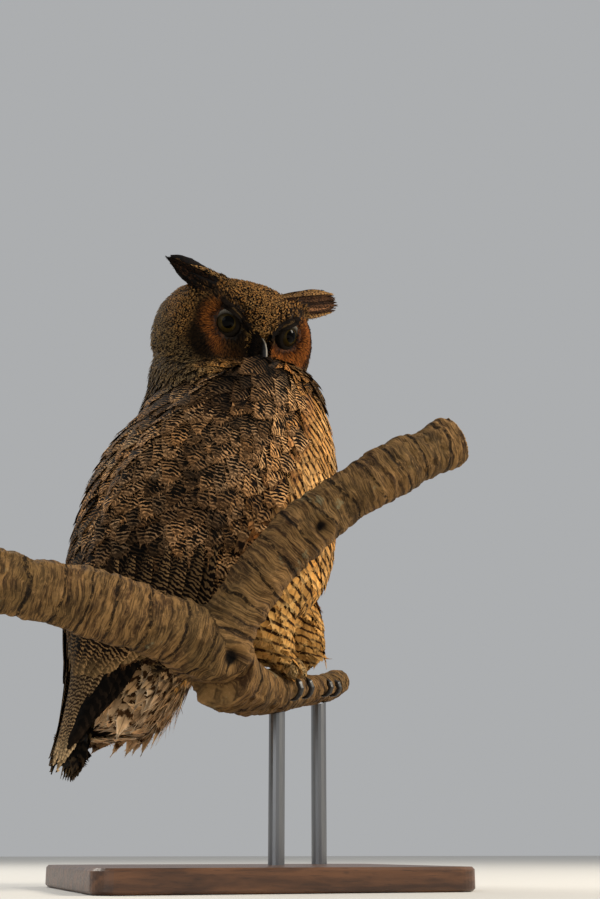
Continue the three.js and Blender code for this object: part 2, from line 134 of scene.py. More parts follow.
def colour(code):
    """A hex colour as linear red, green and blue."""
    parts = [int(code[i : i + 2], 16) / 255 for i in (1, 3, 5)]
    return np.array([p / 12.92 if p <= 0.04045 else ((p + 0.055) / 1.055) ** 2.4 for p in parts])


def lattice(cells, seed):
    """A repeatable number from 0 to 1 for each cell of a grid."""
    whole = cells.astype(np.int64)
    mixed = whole[..., 0] * 374761393 + whole[..., 1] * 668265263 + whole[..., 2] * 2147483647
    mixed = (mixed + seed * 1274126177) & 0xFFFFFFFF
    mixed = ((mixed ^ (mixed >> 13)) * 1274126177) & 0xFFFFFFFF
    return ((mixed ^ (mixed >> 16)) & 0xFFFFFF) / 0xFFFFFF


def noise(points, size, seed=0):
    """Smooth noise from 0 to 1 whose lumps are about "size" across."""
    scaled = np.asarray(points) / size + 1000
    cell = np.floor(scaled)
    part = scaled - cell
    part = part * part * (3 - 2 * part)
    total = 0
    for corner in np.ndindex(2, 2, 2):
        share = np.prod(np.where(corner, part, 1 - part), axis=-1)
        total = total + share * lattice(cell + corner, seed)
    return total


def points_of(mesh):
    points = np.empty(len(mesh.vertices) * 3)
    mesh.vertices.foreach_get("co", points)
    return points.reshape(-1, 3)


def triangles_of(mesh):
    mesh.calc_loop_triangles()
    corners = np.empty(len(mesh.loop_triangles) * 3, dtype=np.int64)
    mesh.loop_triangles.foreach_get("vertices", corners)
    return corners.reshape(-1, 3)


def point_normals(points, triangles):
    a, b, c = (points[triangles[:, i]] for i in range(3))
    face = np.cross(b - a, c - a)
    normals = np.zeros_like(points)
    for i in range(3):
        np.add.at(normals, triangles[:, i], face)
    return unit(normals)


def edges_of(triangles):
    pairs = np.concatenate([triangles[:, [0, 1]], triangles[:, [1, 2]], triangles[:, [2, 0]]])
    return np.unique(np.sort(pairs, axis=1), axis=0)


def relaxed(values, edges, steps, share=0.5):
    """Values at the points of a mesh, smoothed over its edges."""
    a, b = edges.T
    count = np.bincount(edges.ravel(), minlength=len(values)).reshape(-1, 1)
    for _ in range(steps):
        total = np.zeros_like(values)
        np.add.at(total, a, values[b])
        np.add.at(total, b, values[a])
        values = values + share * (total / np.maximum(count, 1) - values)
    return values


def new_mesh(name, points, faces):
    """A smooth mesh from a table of points and a table of equally sided faces."""
    mesh = bpy.data.meshes.new(name)
    mesh.vertices.add(len(points))
    mesh.vertices.foreach_set("co", np.ascontiguousarray(points, np.float32).ravel())
    mesh.loops.add(faces.size)
    mesh.loops.foreach_set("vertex_index", np.ascontiguousarray(faces, np.int32).ravel())
    mesh.polygons.add(len(faces))
    starts = np.arange(0, faces.size, faces.shape[1], dtype=np.int32)
    mesh.polygons.foreach_set("loop_start", starts)
    mesh.update(calc_edges=True)
    mesh.shade_smooth()
    return mesh


def new_object(data):
    """An object in the scene with the name of its mesh, light or camera."""
    piece = bpy.data.objects.new(data.name, data)
    bpy.context.scene.collection.objects.link(piece)
    return piece


def finished(piece, material, replaced=()):
    """Gives a piece its material, and its place in the model."""
    piece.data.materials.clear()
    piece.data.materials.append(material)
    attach(piece, BODY)
    if replaced:
        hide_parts(*replaced)


def add_values(mesh, **named):
    """Values, vectors or colours at each point, by name, for the material to read."""
    for name, values in named.items():
        values = np.asarray(values, np.float32)
        width = 1 if values.ndim == 1 else values.shape[1]
        kind, field = {1: ("FLOAT", "value"), 3: ("FLOAT_VECTOR", "vector")}[width]
        mesh.attributes.new(name, kind, "POINT").data.foreach_set(field, values.ravel())


def add_places(mesh, places):
    """The map on which the colours are kept: a place for each corner of each face."""
    corners = np.empty(len(mesh.loops), dtype=np.int32)
    mesh.loops.foreach_get("vertex_index", corners)
    layer = mesh.uv_layers.new(name="OFBake")
    layer.data.foreach_set("uv", np.asarray(places, np.float32)[corners].ravel())


MERGE_DISTANCE = 0.01 * MM
SHRINK, GROW = 0.6, -0.62  # a pair of smoothing steps that leave the volume as it was


def remeshed(node_names, voxel, swell=0.4 * MM, smoothing=2):
    """Copies of solids joined in one closed, even mesh: its points and triangles."""
    whole = bmesh.new()
    for node in node_names:
        piece = bmesh.new()
        piece.from_mesh(NODES[node].data)
        bmesh.ops.remove_doubles(piece, verts=piece.verts, dist=MERGE_DISTANCE)
        bmesh.ops.recalc_face_normals(piece, faces=piece.faces)
        for vertex in piece.verts:
            vertex.co += vertex.normal * swell
        copy = bpy.data.meshes.new("copy")
        piece.to_mesh(copy)
        piece.free()
        whole.from_mesh(copy)
        bpy.data.meshes.remove(copy)
    mesh = bpy.data.meshes.new("joined")
    whole.to_mesh(mesh)
    whole.free()
    holder = new_object(mesh)
    modifier = holder.modifiers.new("even", "REMESH")
    modifier.mode = "VOXEL"
    modifier.voxel_size = voxel
    depsgraph = bpy.context.evaluated_depsgraph_get()
    even = bpy.data.meshes.new_from_object(holder.evaluated_get(depsgraph))
    points, triangles = points_of(even), triangles_of(even)
    bpy.data.objects.remove(holder)
    bpy.data.meshes.remove(mesh)
    bpy.data.meshes.remove(even)
    edges = edges_of(triangles)
    for _ in range(smoothing):
        points = relaxed(points, edges, 1, SHRINK)
        points = relaxed(points, edges, 1, GROW)
    return relaxed(points, edges, 1), triangles


def tree_of(points, triangles):
    return BVHTree.FromPolygons(points.tolist(), triangles.tolist())


def solid_tree(name):
    mesh = NODES[name].data
    return tree_of(points_of(mesh), triangles_of(mesh))


def nearest(tree, points):
    """The nearest place on a surface to each point, its triangle and its distance."""
    found = [tree.find_nearest(point) for point in points.tolist()]
    places = np.array([f[0] for f in found])
    faces = np.array([f[2] for f in found])
    return places, faces, np.array([f[3] for f in found])


# ---------------------------------------------------------------- materials


class Shader:
    """A material's node tree, with short ways to add to it."""

    def __init__(self, name, **constants):
        self.material = bpy.data.materials.new(name)
        self.material.use_nodes = True
        self.tree = self.material.node_tree
        self.surface = self.tree.nodes["Principled BSDF"]
        for socket, value in constants.items():
            self.surface.inputs[socket.replace("_", " ")].default_value = value

    def put(self, socket, value):
        if isinstance(value, bpy.types.NodeSocket):
            self.tree.links.new(value, socket)
        elif value is not None:
            socket.default_value = value

    def node(self, kind, *values, out=0, **settings):
        node = self.tree.nodes.new("ShaderNode" + kind)
        for key, value in settings.items():
            setattr(node, key, value)
        for socket, value in zip(node.inputs, values):
            self.put(socket, value)
        return node.outputs[out]

    def math(self, operation, *values):
        return self.node("Math", *values, operation=operation)

    def times(self, a, b):
        return self.math("MULTIPLY", a, b)

    def plus(self, a, b):
        return self.math("ADD", a, b)

    def times_plus(self, a, b, c):
        return self.math("MULTIPLY_ADD", a, b, c)

    def size(self, value):
        return self.math("ABSOLUTE", value)

    def attribute(self, name, out="Fac"):
        return self.node("Attribute", out=out, attribute_name=name)

    def split(self, vector):
        node = self.tree.nodes.new("ShaderNodeSeparateXYZ")
        self.put(node.inputs[0], vector)
        return node.outputs

    def combine(self, *values):
        return self.node("CombineXYZ", *values)

    def noise(self, vector, scale, detail=2.0, roughness=0.5, distortion=0.0):
        node = self.tree.nodes.new("ShaderNodeTexNoise")
        names = ("Vector", "Scale", "Detail", "Roughness", "Distortion")
        for name, given in zip(names, (vector, scale, detail, roughness, distortion)):
            self.put(node.inputs[name], given)
        return node.outputs["Fac"]

    def ramp(self, value, low, high, start=0.0, end=1.0):
        node = self.tree.nodes.new("ShaderNodeMapRange")
        node.interpolation_type = "SMOOTHSTEP"
        for socket, given in zip(node.inputs, (value, low, high, start, end)):
            self.put(socket, given)
        return node.outputs[0]

    def mix(self, share, first, second, blend="MIX"):
        node = self.tree.nodes.new("ShaderNodeMix")
        node.data_type = "RGBA"
        node.blend_type = blend
        self.put(node.inputs[0], share)
        for socket, given in zip(node.inputs[6:8], (first, second)):
            self.put(socket, (*colour(given), 1) if isinstance(given, str) else given)
        return node.outputs[2]

    def dimmed(self, base, value):
        """A colour times a plain value."""
        return self.mix(1.0, base, self.combine(value, value, value), "MULTIPLY")

    def position(self):
        return self.node("TexCoord", out="Object")

    def bump(self, height, strength, distance):
        node = self.tree.nodes.new("ShaderNodeBump")
        node.inputs["Strength"].default_value = strength
        node.inputs["Distance"].default_value = distance
        self.put(node.inputs["Height"], height)
        return node.outputs[0]

    def paint(self, base=None, roughness=None, normal=None):
        self.put(self.surface.inputs["Base Color"], base)
        self.put(self.surface.inputs["Roughness"], roughness)
        self.put(self.surface.inputs["Normal"], normal)
        return self.material


def feather_material():
    """Bars, a shaft and a tip drawn along each vane, from the values it carries."""
    s = Shader("plumage", Specular_IOR_Level=0.06)
    across, along, fraction = s.split(s.attribute("place", "Vector"))
    period, duty, wobble = s.split(s.attribute("pattern", "Vector"))
    seed = s.attribute("seed")
    far = s.times(seed, 57.0)
    steps = s.math("DIVIDE", along, period)

    # The bars: evenly spaced, arched over the shaft, and shaken by two sizes of noise.
    calm = s.combine(s.times(across, 1.1), s.times(steps, 0.4), far)
    lively = s.combine(s.times(across, 3.2), s.times(steps, 0.8), far)
    drift = s.times(s.noise(calm, 1.5), 0.9)
    drift = s.times_plus(s.noise(lively, 1.3), 0.4, drift)
    shake = s.times(s.math("SUBTRACT", drift, 0.65), wobble)
    arch = s.times(s.size(across), s.ramp(wobble, 0.6, 1.2, -0.1, -0.6))
    phase = s.plus(s.plus(steps, shake), s.plus(arch, s.attribute("offset")))
    wave = s.math("SINE", s.times(phase, 2 * math.pi))
    wave = s.times_plus(wave, 0.5, 0.5)

    # Barbs break the bars' edges, and blotches close them here and there.
    streak = s.combine(s.times(across, 7.0), s.times(along, 900.0), far)
    grain = s.noise(streak, 1.0)
    blotch = s.combine(s.times(across, 1.6), s.times(along, 130.0), far)
    blotch = s.noise(blotch, 1.0)
    loss = s.times(s.ramp(blotch, 0.45, 0.75), s.times(wobble, 0.28))
    wave = s.times_plus(s.math("SUBTRACT", grain, 0.5), 0.4, wave)
    bar = s.ramp(s.plus(s.math("SUBTRACT", duty, wave), loss), -0.14, 0.14)
    tone = s.ramp(blotch, 0.3, 0.7, 0.75, 1.25)
    ground = s.dimmed(s.attribute("ground", "Color"), tone)
    base = s.mix(bar, ground, s.attribute("marking", "Color"))
    shaft = s.ramp(s.size(across), 0.03, 0.14, 0.5, 0.0)
    base = s.mix(shaft, base, s.attribute("marking", "Color"))
    fringe = s.times(s.ramp(fraction, 0.82, 0.98), 0.45)
    base = s.mix(fringe, base, s.attribute("tip", "Color"))
    # Painted shade, from the value each point carries: darker towards the root and where
    # neighbouring feathers cover the vane.
    base = s.dimmed(base, s.attribute("lit"))
    barbs = s.times_plus(s.size(across), -9.0, s.times(along, 1500.0))
    ridge = s.math("SINE", s.times(barbs, 2 * math.pi))
    normal = s.bump(ridge, 0.25, 0.15 * MM)
    return s.paint(base, s.ramp(grain, 0.2, 0.8, 0.72, 0.88), normal)


def skin_material():
    """The skin beneath the feathers carries their colours, mottled."""
    s = Shader("skin", Specular_IOR_Level=0.2)
    place = s.position()
    speck = s.noise(place, 420.0, 3.0)
    share = s.ramp(speck, 0.42, 0.58)
    base = s.mix(share, s.attribute("ground", "Color"), s.attribute("marking", "Color"))
    base = s.mix(1.0, base, "#8c8c8c", "MULTIPLY")
    return s.paint(base, 0.8, s.bump(speck, 0.4, 0.4 * MM))


# ---------------------------------------------------------------- plumage regions

# spacing, length, width and depth are a feather's, in millimetres; period and duty are its
# bars': millimetres from bar to bar, and the dark share; wobble is how far the bars wander.
Region = namedtuple(
    "Region", "name spacing length width depth ground marking tip period duty wobble"
)
REGIONS = [
    Region("crown", 2.9, 10, 5.0, 3.0, "#9c713e", "#080502", "#8c6336", 3.3, 0.70, 1.7),
    Region("nape", 3.3, 16, 5.0, 4.0, "#80653f", "#0e0805", "#7a6240", 4.6, 0.60, 2.4),
    Region("disc", 1.9, 11, 2.4, 2.0, "#96551f", "#3a1c0a", "#a05f28", 9, 0.30, 1.2),
    Region("orbit", 1.8, 8, 2.0, 1.6, "#35240f", "#140d06", "#3d2911", 5, 0.45, 1.0),
    Region("rim", 2.0, 10, 4.6, 3.2, "#090604", "#060403", "#0d0906", 5, 0.6, 1.0),
    Region("brow", 2.1, 10, 2.6, 2.6, "#9a7c46", "#4a3418", "#a88a54", 7, 0.3, 1.0),
    Region("lore", 1.7, 12, 1.6, 1.6, "#2d2115", "#0f0a06", "#130d08", 8, 0.45, 1.0),
    Region("bib", 4.4, 20, 11, 5.0, "#ddd0b4", "#bda67f", "#e6dcc6", 9, 0.1, 1.0),
    Region("collar", 5.2, 24, 13, 5.0, "#7d5a31", "#0f0905", "#7a5529", 3.6, 0.66, 1.8),
    Region("mantle", 8.2, 38, 24, 5.0, "#a57c50", "#0c0603", "#7c5a38", 3.2, 0.69, 1.7),
    Region("rump", 7.0, 34, 19, 4.6, "#7d6341", "#110a06", "#6b5232", 3.4, 0.64, 1.7),
    Region("coverts", 8.4, 40, 24, 4.0, "#846444", "#0c0703", "#674b30", 3.2, 0.69, 1.7),
    Region("flank", 6.0, 36, 15, 5.0, "#7a4a22", "#1f1008", "#80532a", 4.8, 0.42, 0.4),
    Region("breast", 6.4, 36, 19, 5.0, "#c08e52", "#2a190b", "#c89a62", 4.8, 0.34, 0.3),
    Region("belly", 7.0, 38, 23, 5.5, "#bf8c4a", "#2c1a0b", "#caa063", 6.5, 0.27, 0.35),
    Region("vent", 7.0, 54, 14, 6.5, "#e6bb8a", "#4a3018", "#f3d9b4", 20, 0.15, 0.5),
    # The next region is painted shade: near-black feathers where the lower part of each wing and
    # the lowest part of the back lie in shadow.
    Region("under", 7.0, 36, 18, 4.0, "#1d150e", "#0b0704", "#2a1e13", 9, 0.6, 1.2),
    Region("tail", 8.0, 34, 20, 2.5, "#4d3a25", "#120c07", "#5f4a30", 9, 0.55, 1.6),
    Region("leg", 5.0, 30, 15, 4.5, "#bf8c4a", "#3a2410", "#caa063", 6.5, 0.20, 0.35),
    Region("toe", 2.0, 6, 3.0, 1.2, "#a98a5c", "#70552f", "#b5966a", 6, 0.12, 1.0),
    Region("tuft", 3.4, 16, 6, 1.6, "#2c1a0c", "#0b0704", "#140d08", 9, 0.72, 1.2),
]
REGION_OF = {region.name: i for i, region in enumerate(REGIONS)}
SIZES = np.array([r[1:5] for r in REGIONS]) * MM
GROUNDS = np.array([colour(r.ground) for r in REGIONS])
MARKINGS = np.array([colour(r.marking) for r in REGIONS])
TIPS = np.array([colour(r.tip) for r in REGIONS])
BARS = np.array([(r.period * MM, r.duty, r.wobble) for r in REGIONS])

TRUNK_AXIS = (FEET_CENTRE[0], 0.040)  # x and y of the upright line that the body wraps


def turn_of(points):
    """Degrees round the body from the breast towards the right side, from -180 to 180."""
    x = points[:, 0] - TRUNK_AXIS[0]
    y = points[:, 1] - TRUNK_AXIS[1]
    return np.degrees(np.arctan2(-x, -y))


def bearing_of(points):
    """Degrees round the body: 0 at the breast, 90 at either side, 180 at the back."""
    return np.abs(turn_of(points))


def height_of(points):
    """How high points lie above the feet, in mm."""
    return (points[:, 2] - FEET_CENTRE[2]) / MM


def from_eyes(local):
    """Distance from the nearer eye's axis, in the face's plane, that eye's side, and the way."""
    side = np.where(local[:, 0] < 0, -1, 1)
    eyes = np.stack([side * EYE_SPACING, local[:, 1], np.full(len(local), EYE_HEIGHT)], axis=1)
    return np.linalg.norm(local - eyes, axis=1), side, unit(local - eyes)


def brow_height(across):
    """How high the brow's pale line runs at a distance from the face's middle, in mm."""
    return 30 - 47 * np.exp(-across / 26)


FACE_OVERLAP = 6 * MM  # how far a face feather's end lies from its root
ORBIT_REACH = 14  # of the dark feathers round the eye, in mm, on the side away from the bill
LORE_REACH = 15  # of the bristles beside the bill, in mm from the face's middle
# Where the disc's black rim begins and ends, in mm from the eye, on either side of the face.
RIM_BEGINS = {-1: 28, 1: 33.5}
RIM_ENDS = {-1: 35.5, 1: 40.5}
TUFT_PLACE = (47, 27)  # how far out and up each tuft's dark base lies, in mm
# A band of painted shade, in the tufts' dark colours, runs under the brow from the right tuft down
# to the top of the eye: (across, height), in mm.
SHADE_BAND_START, SHADE_BAND_END = (-56, 37), (-34, 19)
SHADE_BAND_WIDTH = 6.75
THROAT = -22  # degrees round the body at which the white bib is centred
RUST = 50  # and the rusty patch below the disc

# Where the mantle begins: degrees from the breast, at heights in mm above the feet.
MANTLE_HEIGHTS = [60, 102, 119, 138, 162, 182, 208, 262]
MANTLE_EDGE = [78, 70, 67, 62, 56, 51, 46, 38]
# How far ahead of that edge the flank's dark sides reach, in degrees, at other heights.
FLANK_HEIGHTS = [80, 140, 200]
FLANK_BREADTH = [26, 12, 4]


def face_weights(put, points, is_head):
    """The head's regions. Lengths are in mm, in the head's own frame."""
    local = in_head(points)
    reach, _, outward = from_eyes(local)
    overlap = FACE_OVERLAP * smoothstep(-reach, -50 * MM, -36 * MM)
    local = local + outward * overlap[:, None]
    reach, side, _ = from_eyes(local)
    x, y, z = local.T / MM
    reach = reach / MM
    is_right = side < 0
    in_face = smoothstep(-y, 6, 14) * is_head

    # The pale brows run from the bill up to the tufts and cut the discs off above.
    above_brow = z - brow_height(np.abs(x))
    under_brow = smoothstep(-above_brow, -1.0, 1.5)
    chin = smoothstep(-z, 30, 38) * bell(x - 14, 16) * smoothstep(-y, 10, 24) * is_head
    beneath = 8 * smoothstep(-z, -8, 18) * is_right
    limit = np.where(is_right, RIM_ENDS[-1], RIM_ENDS[1]) + beneath
    inside = smoothstep(limit - reach, -1.5, 1.5) * in_face * under_brow * (1 - chin)

    # Round the eye it is dark. On the owl's right side of the face the dark is painted shade as
    # well: it reaches wider towards the bill and below the outer side of the eye, and is mixed a
    # little into the whole disc.
    outwards = np.abs(x) - EYE_SPACING / MM
    orbit = ORBIT_REACH + np.where(is_right, 14, 2) * smoothstep(-outwards, -6, 6)
    in_orbit = smoothstep(orbit - reach, -3, 3)
    in_orbit = in_orbit + (1 - in_orbit) * 0.35 * is_right
    inward = smoothstep(x, -41, -33) * smoothstep(-z, -2, 6) * is_right
    in_orbit = np.maximum(in_orbit, 0.85 * inward)
    in_lore = smoothstep(LORE_REACH - np.abs(x), -4, 4) * smoothstep(-y, 30, 40)
    put("lore", inside * in_lore)
    put("orbit", inside * (1 - in_lore) * in_orbit)

    # The rim is broadest below and outside the eye that is on the owl's right.
    around = np.degrees(np.arctan2(EYE_HEIGHT / MM - z, outwards))
    begin = np.where(is_right, RIM_BEGINS[-1] + 0.5 * beneath, RIM_BEGINS[1])
    begin = begin - 8 * bell(around - 42, 24) * is_right
    outer = smoothstep(reach - begin, -1, 1) * smoothstep(np.abs(x), 18, 34)
    put("disc", inside * (1 - in_lore) * (1 - in_orbit) * (1 - outer))
    put("rim", inside * (1 - in_lore) * (1 - in_orbit) * outer)

    on_brow = bell(above_brow - 1.8, 2.6) * in_face * (1 - inside) * smoothstep(-y, 26, 36)
    on_brow = on_brow * (1 - 0.75 * smoothstep(np.abs(x), 26, 40))
    on_brow = on_brow * (1 - 0.7 * smoothstep(-x, 24, 30))
    put("brow", on_brow)
    put("bib", chin)
    out, up = TUFT_PLACE
    corner = bell(np.abs(x) - out, 12) * bell(z - up, 9) * in_face * (1 - inside)
    # The band of painted shade under the right brow.
    run, fall = SHADE_BAND_END[0] - SHADE_BAND_START[0], SHADE_BAND_END[1] - SHADE_BAND_START[1]
    share = np.clip((x - SHADE_BAND_START[0]) / run, 0, 1)
    off_band = np.abs(z - SHADE_BAND_START[1] - fall * share)
    off_band = off_band + 3 * np.abs(x - SHADE_BAND_START[0] - run * share)
    shade_band = smoothstep(SHADE_BAND_WIDTH - off_band, -1.75, 1.75) * in_face
    corner = np.maximum(corner, shade_band)
    put("tuft", corner * (1 - on_brow) * (1 - inside))
    rest = np.clip((is_head - chin - on_brow) * (1 - inside) * (1 - corner), 0, 1)
    is_crown = smoothstep(z - 0.7 * y, -2, 22)
    put("crown", rest * is_crown)
    put("nape", rest * (1 - is_crown))


def neck_weights(put, points, is_neck):
    turn, height = turn_of(points), height_of(points)
    throat = 0.8 * bell(turn - THROAT, 26) * is_neck * smoothstep(height, 236, 252)
    behind = smoothstep(np.abs(turn), 78, 112) * is_neck
    rust = 0.3 * bell(turn - RUST, 9) * is_neck * smoothstep(height, 250, 260)
    put("bib", throat)
    put("nape", behind)
    put("disc", rust)
    put("collar", np.clip(is_neck - throat - behind - rust, 0, 1))


def trunk_weights(put, points, is_trunk):
    bearing, height = bearing_of(points), height_of(points)
    edge = np.interp(height, MANTLE_HEIGHTS, MANTLE_EDGE)
    behind = smoothstep(bearing - edge, -3, 6)
    low = smoothstep(-height, -70, -20)
    below = smoothstep(-height, -12, 6)
    # Painted shade: the back below the feet's height takes the near-black region.
    under = smoothstep(bearing, 146, 152) * below
    vent = below - under
    put("under", is_trunk * under)
    put("vent", is_trunk * vent)
    put("mantle", is_trunk * behind * (1 - low))
    put("rump", is_trunk * behind * low * (1 - vent - under))
    fore = is_trunk * (1 - behind)
    breadth = np.interp(height, FLANK_HEIGHTS, FLANK_BREADTH)
    sides = smoothstep(bearing - edge, -breadth, -0.2 * breadth)
    belly = smoothstep(-height, -160, -70)
    put("flank", fore * sides * (1 - low))
    put("breast", fore * (1 - sides) * (1 - belly) * (1 - low))
    put("belly", fore * ((1 - sides) * belly * (1 - low) + low * (1 - vent - under)))


def region_weights(points, labels):
    """How much each point of the skin belongs to each region of the plumage."""
    weights = np.zeros((len(points), len(REGIONS)))

    def put(name, share):
        weights[:, REGION_OF[name]] += share

    def on(part):
        names = [i for i, name in enumerate(FLESH) if name.startswith(part)]
        return np.isin(labels, names).astype(float)

    face_weights(put, points, on("head"))
    neck_weights(put, points, on("neck"))
    trunk_weights(put, points, on("trunk"))
    # Painted shade: the wing's lower part takes the near-black region.
    inner = smoothstep(-height_of(points), 4, 16)
    put("coverts", on("wing") * (1 - inner))
    put("under", on("wing") * inner)
    put("tail", on("tail"))
    put("leg", on("leg"))
    put("toe", on("foot"))
    put("tuft", on("ear_tuft"))
    return weights / np.maximum(weights.sum(axis=1, keepdims=True), 1e-6)


# ---------------------------------------------------------------- the lie of the plumage

TUFT_RISE = {"right": 22, "left": 13}
TUFT_SWEEP = 26
DOWN_BACK = np.array([0, 0.36, -0.93])
DOWN_BREAST = np.array([0, 0.02, -1.0])
DOWN_FLANK = np.array([0, 0.62, -0.78])
DOWN_WING = np.array([0, 0.42, -0.91])
DOWN_LEG = np.array([0, -0.1, -1.0])
HEEL_DEPTH = 12 * MM  # how far ahead of a foot's back the feathers of its toes set out
TOWARDS_NAPE = np.array([0, 0.55, -0.85])  # in the head's frame, as is the next
BEHIND_BILL = BILL_ROOT + np.array([0, 20, 0]) * MM  # the crown's feathers point away from it


def tuft_axis(name):
    up, back = math.radians(TUFT_RISE[name]), math.radians(TUFT_SWEEP)
    along = [SIDES[name] * math.cos(up), math.sin(back), math.sin(up)]
    return unit(HEAD_AXES @ np.array(along))


def lie_of(points, normals, labels):
    """The way a feather points at each place, along the surface."""
    ahead = np.tile(DOWN_BACK, (len(points), 1))
    bearing = bearing_of(points)[:, None]
    front = 1 - smoothstep(bearing, 60, 110)
    height = points[:, 2:3] - FEET_CENTRE[2]
    slant = smoothstep(bearing, 15, 60) * smoothstep(height, 0.05, 0.13)
    ahead = ahead * (1 - front) + (DOWN_BREAST * (1 - slant) + DOWN_FLANK * slant) * front
    node = {name: labels == i for i, name in enumerate(FLESH)}
    ahead[node["wing_right"] | node["wing_left"]] = DOWN_WING

    local = in_head(points)
    reach, _, outward = from_eyes(local)
    x, y, z = (local[:, i : i + 1] / MM for i in range(3))
    away = unit(local - BEHIND_BILL)
    is_back = smoothstep(y, -5, 45)
    over = unit(away * (1 - is_back) + TOWARDS_NAPE * is_back)
    in_disc = smoothstep(-reach[:, None] / MM, -44, -36) * smoothstep(-y, 4, 12)
    over = over * (1 - in_disc) + outward * in_disc
    # The bristles beside the bill lie down along it.
    beside = bell(x, 13) * smoothstep(z, -40, -30) * smoothstep(-z, -12, -2)
    beside = beside * smoothstep(-y, 30, 40)
    along_bill = unit(np.concatenate([0.35 * np.sign(x), 0 * x - 0.5, 0 * x - 1], axis=1))
    over = unit(over * (1 - beside) + along_bill * beside)
    is_head = node["head"]
    ahead[is_head] = (over @ HEAD_AXES.T)[is_head]
    for name in SIDES:
        ahead[node[f"ear_tuft_{name}"]] = tuft_axis(name)
        low, high = (np.array(corner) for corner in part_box(f"foot_{name}"))
        heel = np.array([(low[0] + high[0]) / 2, high[1] - HEEL_DEPTH, high[2]])
        is_foot = node[f"foot_{name}"]
        ahead[is_foot] = unit(points[is_foot] - heel)
        ahead[node[f"leg_{name}"]] = DOWN_LEG
    return unit(ahead - dot(ahead, normals) * normals)


# ---------------------------------------------------------------- skin


class Skin:
    """The skin's points, triangles and, at each point, all that the plumage needs to know."""

    VOXEL = 3 * MM
    THICKEST = 60 * MM  # how far through the solids their thickness is looked for
    DEPTH_SHARE = 0.3  # the most of that thickness that the coat may take

    def __init__(self):
        points, self.triangles = remeshed(FLESH, self.VOXEL)
        edges = edges_of(self.triangles)
        normals = point_normals(points, self.triangles)
        self.outline = points
        self.labels = self.nearest_nodes(points)
        weights = region_weights(points, self.labels)
        self.weights = np.clip(relaxed(weights, edges, 2), 0, 1)
        self.weights /= self.weights.sum(axis=1, keepdims=True)
        self.depth = self.coat_depth(points, normals, edges)
        self.points = relaxed(points - normals * self.depth, edges, 1, 0.5)
        self.normals = point_normals(self.points, self.triangles)
        lie = lie_of(self.points, self.normals, self.labels)
        lie = relaxed(lie, edges, 5)
        self.lie = unit(lie - dot(lie, self.normals) * self.normals)
        self.tree = tree_of(self.points, self.triangles)
        self.object = new_object(new_mesh("skin", self.points, self.triangles))
        self.corner_places = self.unwrapped()

    def nearest_nodes(self, points):
        return np.argmin([nearest(solid_tree(name), points)[2] for name in FLESH], axis=0)

    def coat_depth(self, points, normals, edges):
        """How far the skin lies inside the solids: less where they are thin."""
        wanted = self.weights @ SIZES[:, 3:4]
        tree = tree_of(points, self.triangles)
        thickness = np.full((len(points), 1), 1.0)
        starts = points - normals * 0.2 * MM
        for i, (start, inward) in enumerate(zip(starts.tolist(), (-normals).tolist())):
            hit = tree.ray_cast(start, inward, self.THICKEST)
            if hit[0] is not None:
                thickness[i] = hit[3]
        eyes = np.min(
            [np.linalg.norm(points - eye_centre(side), axis=1) for side in SIDES.values()], axis=0
        )
        near_eye = smoothstep(eyes[:, None], 15 * MM, 22 * MM)
        return relaxed(np.minimum(wanted, self.DEPTH_SHARE * thickness) * near_eye, edges, 3)

    def unwrapped(self):
        """Unfolds the skin and returns the place of each triangle's corners on the map."""
        mesh = self.object.data
        mesh.uv_layers.new(name="OFBake")
        bpy.context.view_layer.objects.active = self.object
        self.object.select_set(True)
        bpy.ops.object.mode_set(mode="EDIT")
        bpy.ops.mesh.select_all(action="SELECT")
        bpy.ops.uv.smart_project(angle_limit=math.radians(66), island_margin=0.002)
        bpy.ops.object.mode_set(mode="OBJECT")
        places = np.empty(len(mesh.loops) * 2)
        mesh.uv_layers["OFBake"].data.foreach_get("uv", places)
        return places.reshape(-1, 3, 2)

    def at(self, faces, shares, values):
        """Values of the skin's points, at places given by triangle and share of each corner."""
        return np.einsum("nk,nkc->nc", shares, values[self.triangles[faces]])

    def place_of(self, points):
        """The places on the skin's map that lie nearest to points."""
        found, faces, _ = nearest(self.tree, points)
        a, b, c = (self.points[self.triangles[faces, i]] for i in range(3))
        whole = np.linalg.norm(np.cross(b - a, c - a), axis=1)
        shares = [np.cross(b - found, c - found), np.cross(c - found, a - found)]
        shares = [np.linalg.norm(part, axis=1) / np.maximum(whole, 1e-15) for part in shares]
        shares = np.stack([*shares, 1 - shares[0] - shares[1]], axis=1)
        return np.einsum("nk,nkc->nc", np.clip(shares, 0, 1), self.corner_places[faces])

    def normals_at(self, faces):
        return unit(self.normals[self.triangles[faces]].mean(axis=1))


